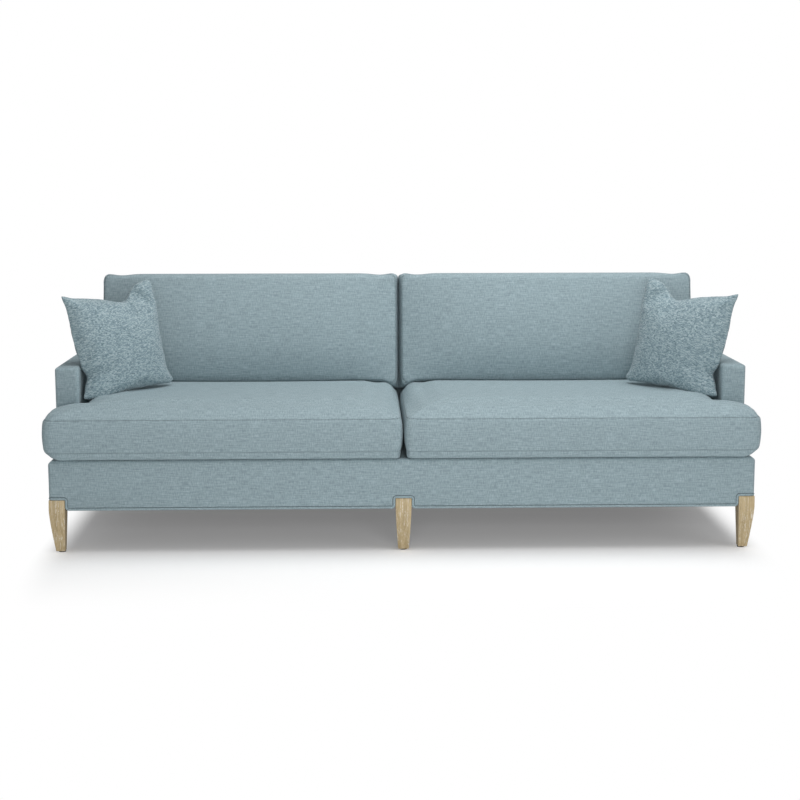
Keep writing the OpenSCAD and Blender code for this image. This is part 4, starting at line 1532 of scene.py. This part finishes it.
@dataclass
class Studio:
    """The floor, the lamps, the white surroundings and the camera."""

    eye: Triple = (-0.1427, -5.6045, 1.3126)
    pitch: float = 0.1516
    yaw: float = 0.02532
    roll: float = -0.0011
    lens: float = 69.67
    sensor: float = 36.0
    ambient: float = 0.29
    glow: float = 0.16
    floor_size: float = 60.0
    floor_shade: float = 0.90
    foot: tuple[float, float] = (1.12, 0.47)
    fade: tuple[float, float] = (0.14, 0.67)
    lamps: tuple[Lamp, ...] = (
        Lamp("front", (0.25, -4.2, 1.1), (2.2, 1.2), 51.0), Lamp("top", (0.6, -0.4, 3.4), (3.0, 2.4), 77.0),
        Lamp("side", (3.6, -2.6, 1.8), (2.0, 1.8), 12.0))

    def camera(self) -> None:
        """Stand the camera where the photograph was taken."""
        data = bpy.data.cameras.new("camera")
        data.lens = self.lens
        data.sensor_width = self.sensor
        data.sensor_fit = "HORIZONTAL"
        data.clip_end = 200.0
        camera = bpy.data.objects.new("camera", data)
        turn = (Matrix.Rotation(-self.yaw, 4, "Z") @ Matrix.Rotation(QUARTER - self.pitch, 4, "X")
                @ Matrix.Rotation(self.roll, 4, "Z"))
        camera.matrix_world = Matrix.Translation(self.eye) @ turn
        bpy.context.scene.collection.objects.link(camera)
        bpy.context.scene.camera = camera

    def floor(self) -> None:
        """Lay a wide pale floor that keeps the sofa's shadow and fades to white."""
        bpy.ops.object.select_all(action="DESELECT")
        bpy.ops.mesh.primitive_plane_add(size=self.floor_size, location=(0.0, 0.0, 0.0))
        floor = bpy.context.object
        floor.name = "floor"
        s = Shader("floor")
        s.surface.inputs["Base Color"].default_value = (*[self.floor_shade] * 3, 1.0)
        s.surface.inputs["Roughness"].default_value = 1.0
        s.surface.inputs["Specular IOR Level"].default_value = 0.0
        seen = s.number(s.node("ShaderNodeLightPath").outputs["Is Camera Ray"])
        glow, white = (s.node("ShaderNodeEmission", {}, {"Color": WHITE, "Strength": strength}).outputs[0]
                       for strength in (self.glow, 1.0))
        both = s.node("ShaderNodeAddShader", {}, {0: s.surface.outputs[0], 1: glow}).outputs[0]
        x, y, _ = s.parts(s.place(Space.OBJECT))
        beside, ahead = ((abs(at) - foot).maths("MAXIMUM", 0.0) / fade
                         for at, foot, fade in zip((x, y), self.foot, self.fade))
        far = ((beside * beside + ahead * ahead) ** 0.5).step(0.1, 1.0)
        near = s.node("ShaderNodeMixShader", {}, {0: far, 1: both, 2: white})
        shown = s.node("ShaderNodeMixShader", {}, {0: seen, 1: s.surface.outputs[0], 2: near.outputs[0]})
        s.tree.links.new(shown.outputs[0], s.output.inputs["Surface"])
        floor.data.materials.append(s.material)

    def world(self) -> None:
        """Surround everything with soft light that the camera sees as white."""
        world = bpy.data.worlds.new("studio")
        world.use_nodes = True
        bpy.context.scene.world = world
        tree = world.node_tree
        tree.nodes.clear()
        path = tree.nodes.new("ShaderNodeLightPath").outputs
        seen = Socket(tree, path["Is Camera Ray"])
        for name in ("Is Glossy Ray", "Is Transmission Ray"):
            seen = seen.maths("MAXIMUM", Socket(tree, path[name]))
        light = tree.nodes.new("ShaderNodeBackground")
        light.inputs["Color"].default_value = (*WHITE, 1.0)
        tree.links.new((seen * (1.0 - self.ambient) + self.ambient).output, light.inputs["Strength"])
        out = tree.nodes.new("ShaderNodeOutputWorld")
        tree.links.new(light.outputs[0], out.inputs["Surface"])

    def build(self) -> None:
        """Set the whole studio up."""
        self.camera()
        self.floor()
        self.world()
        for lamp in self.lamps:
            lamp.build()
        bpy.context.scene.view_settings.view_transform = "Standard"


def main() -> None:
    """Build the sofa and its studio."""
    logging.basicConfig(level=logging.INFO, format="%(name)s: %(message)s")
    Studio().build()
    finishes = Finishes()
    for part in (HiddenFrame, Legs, Covers, Welt, SoftGoods):
        part(finishes).build()
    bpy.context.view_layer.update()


if __name__ == "__main__":
    main()
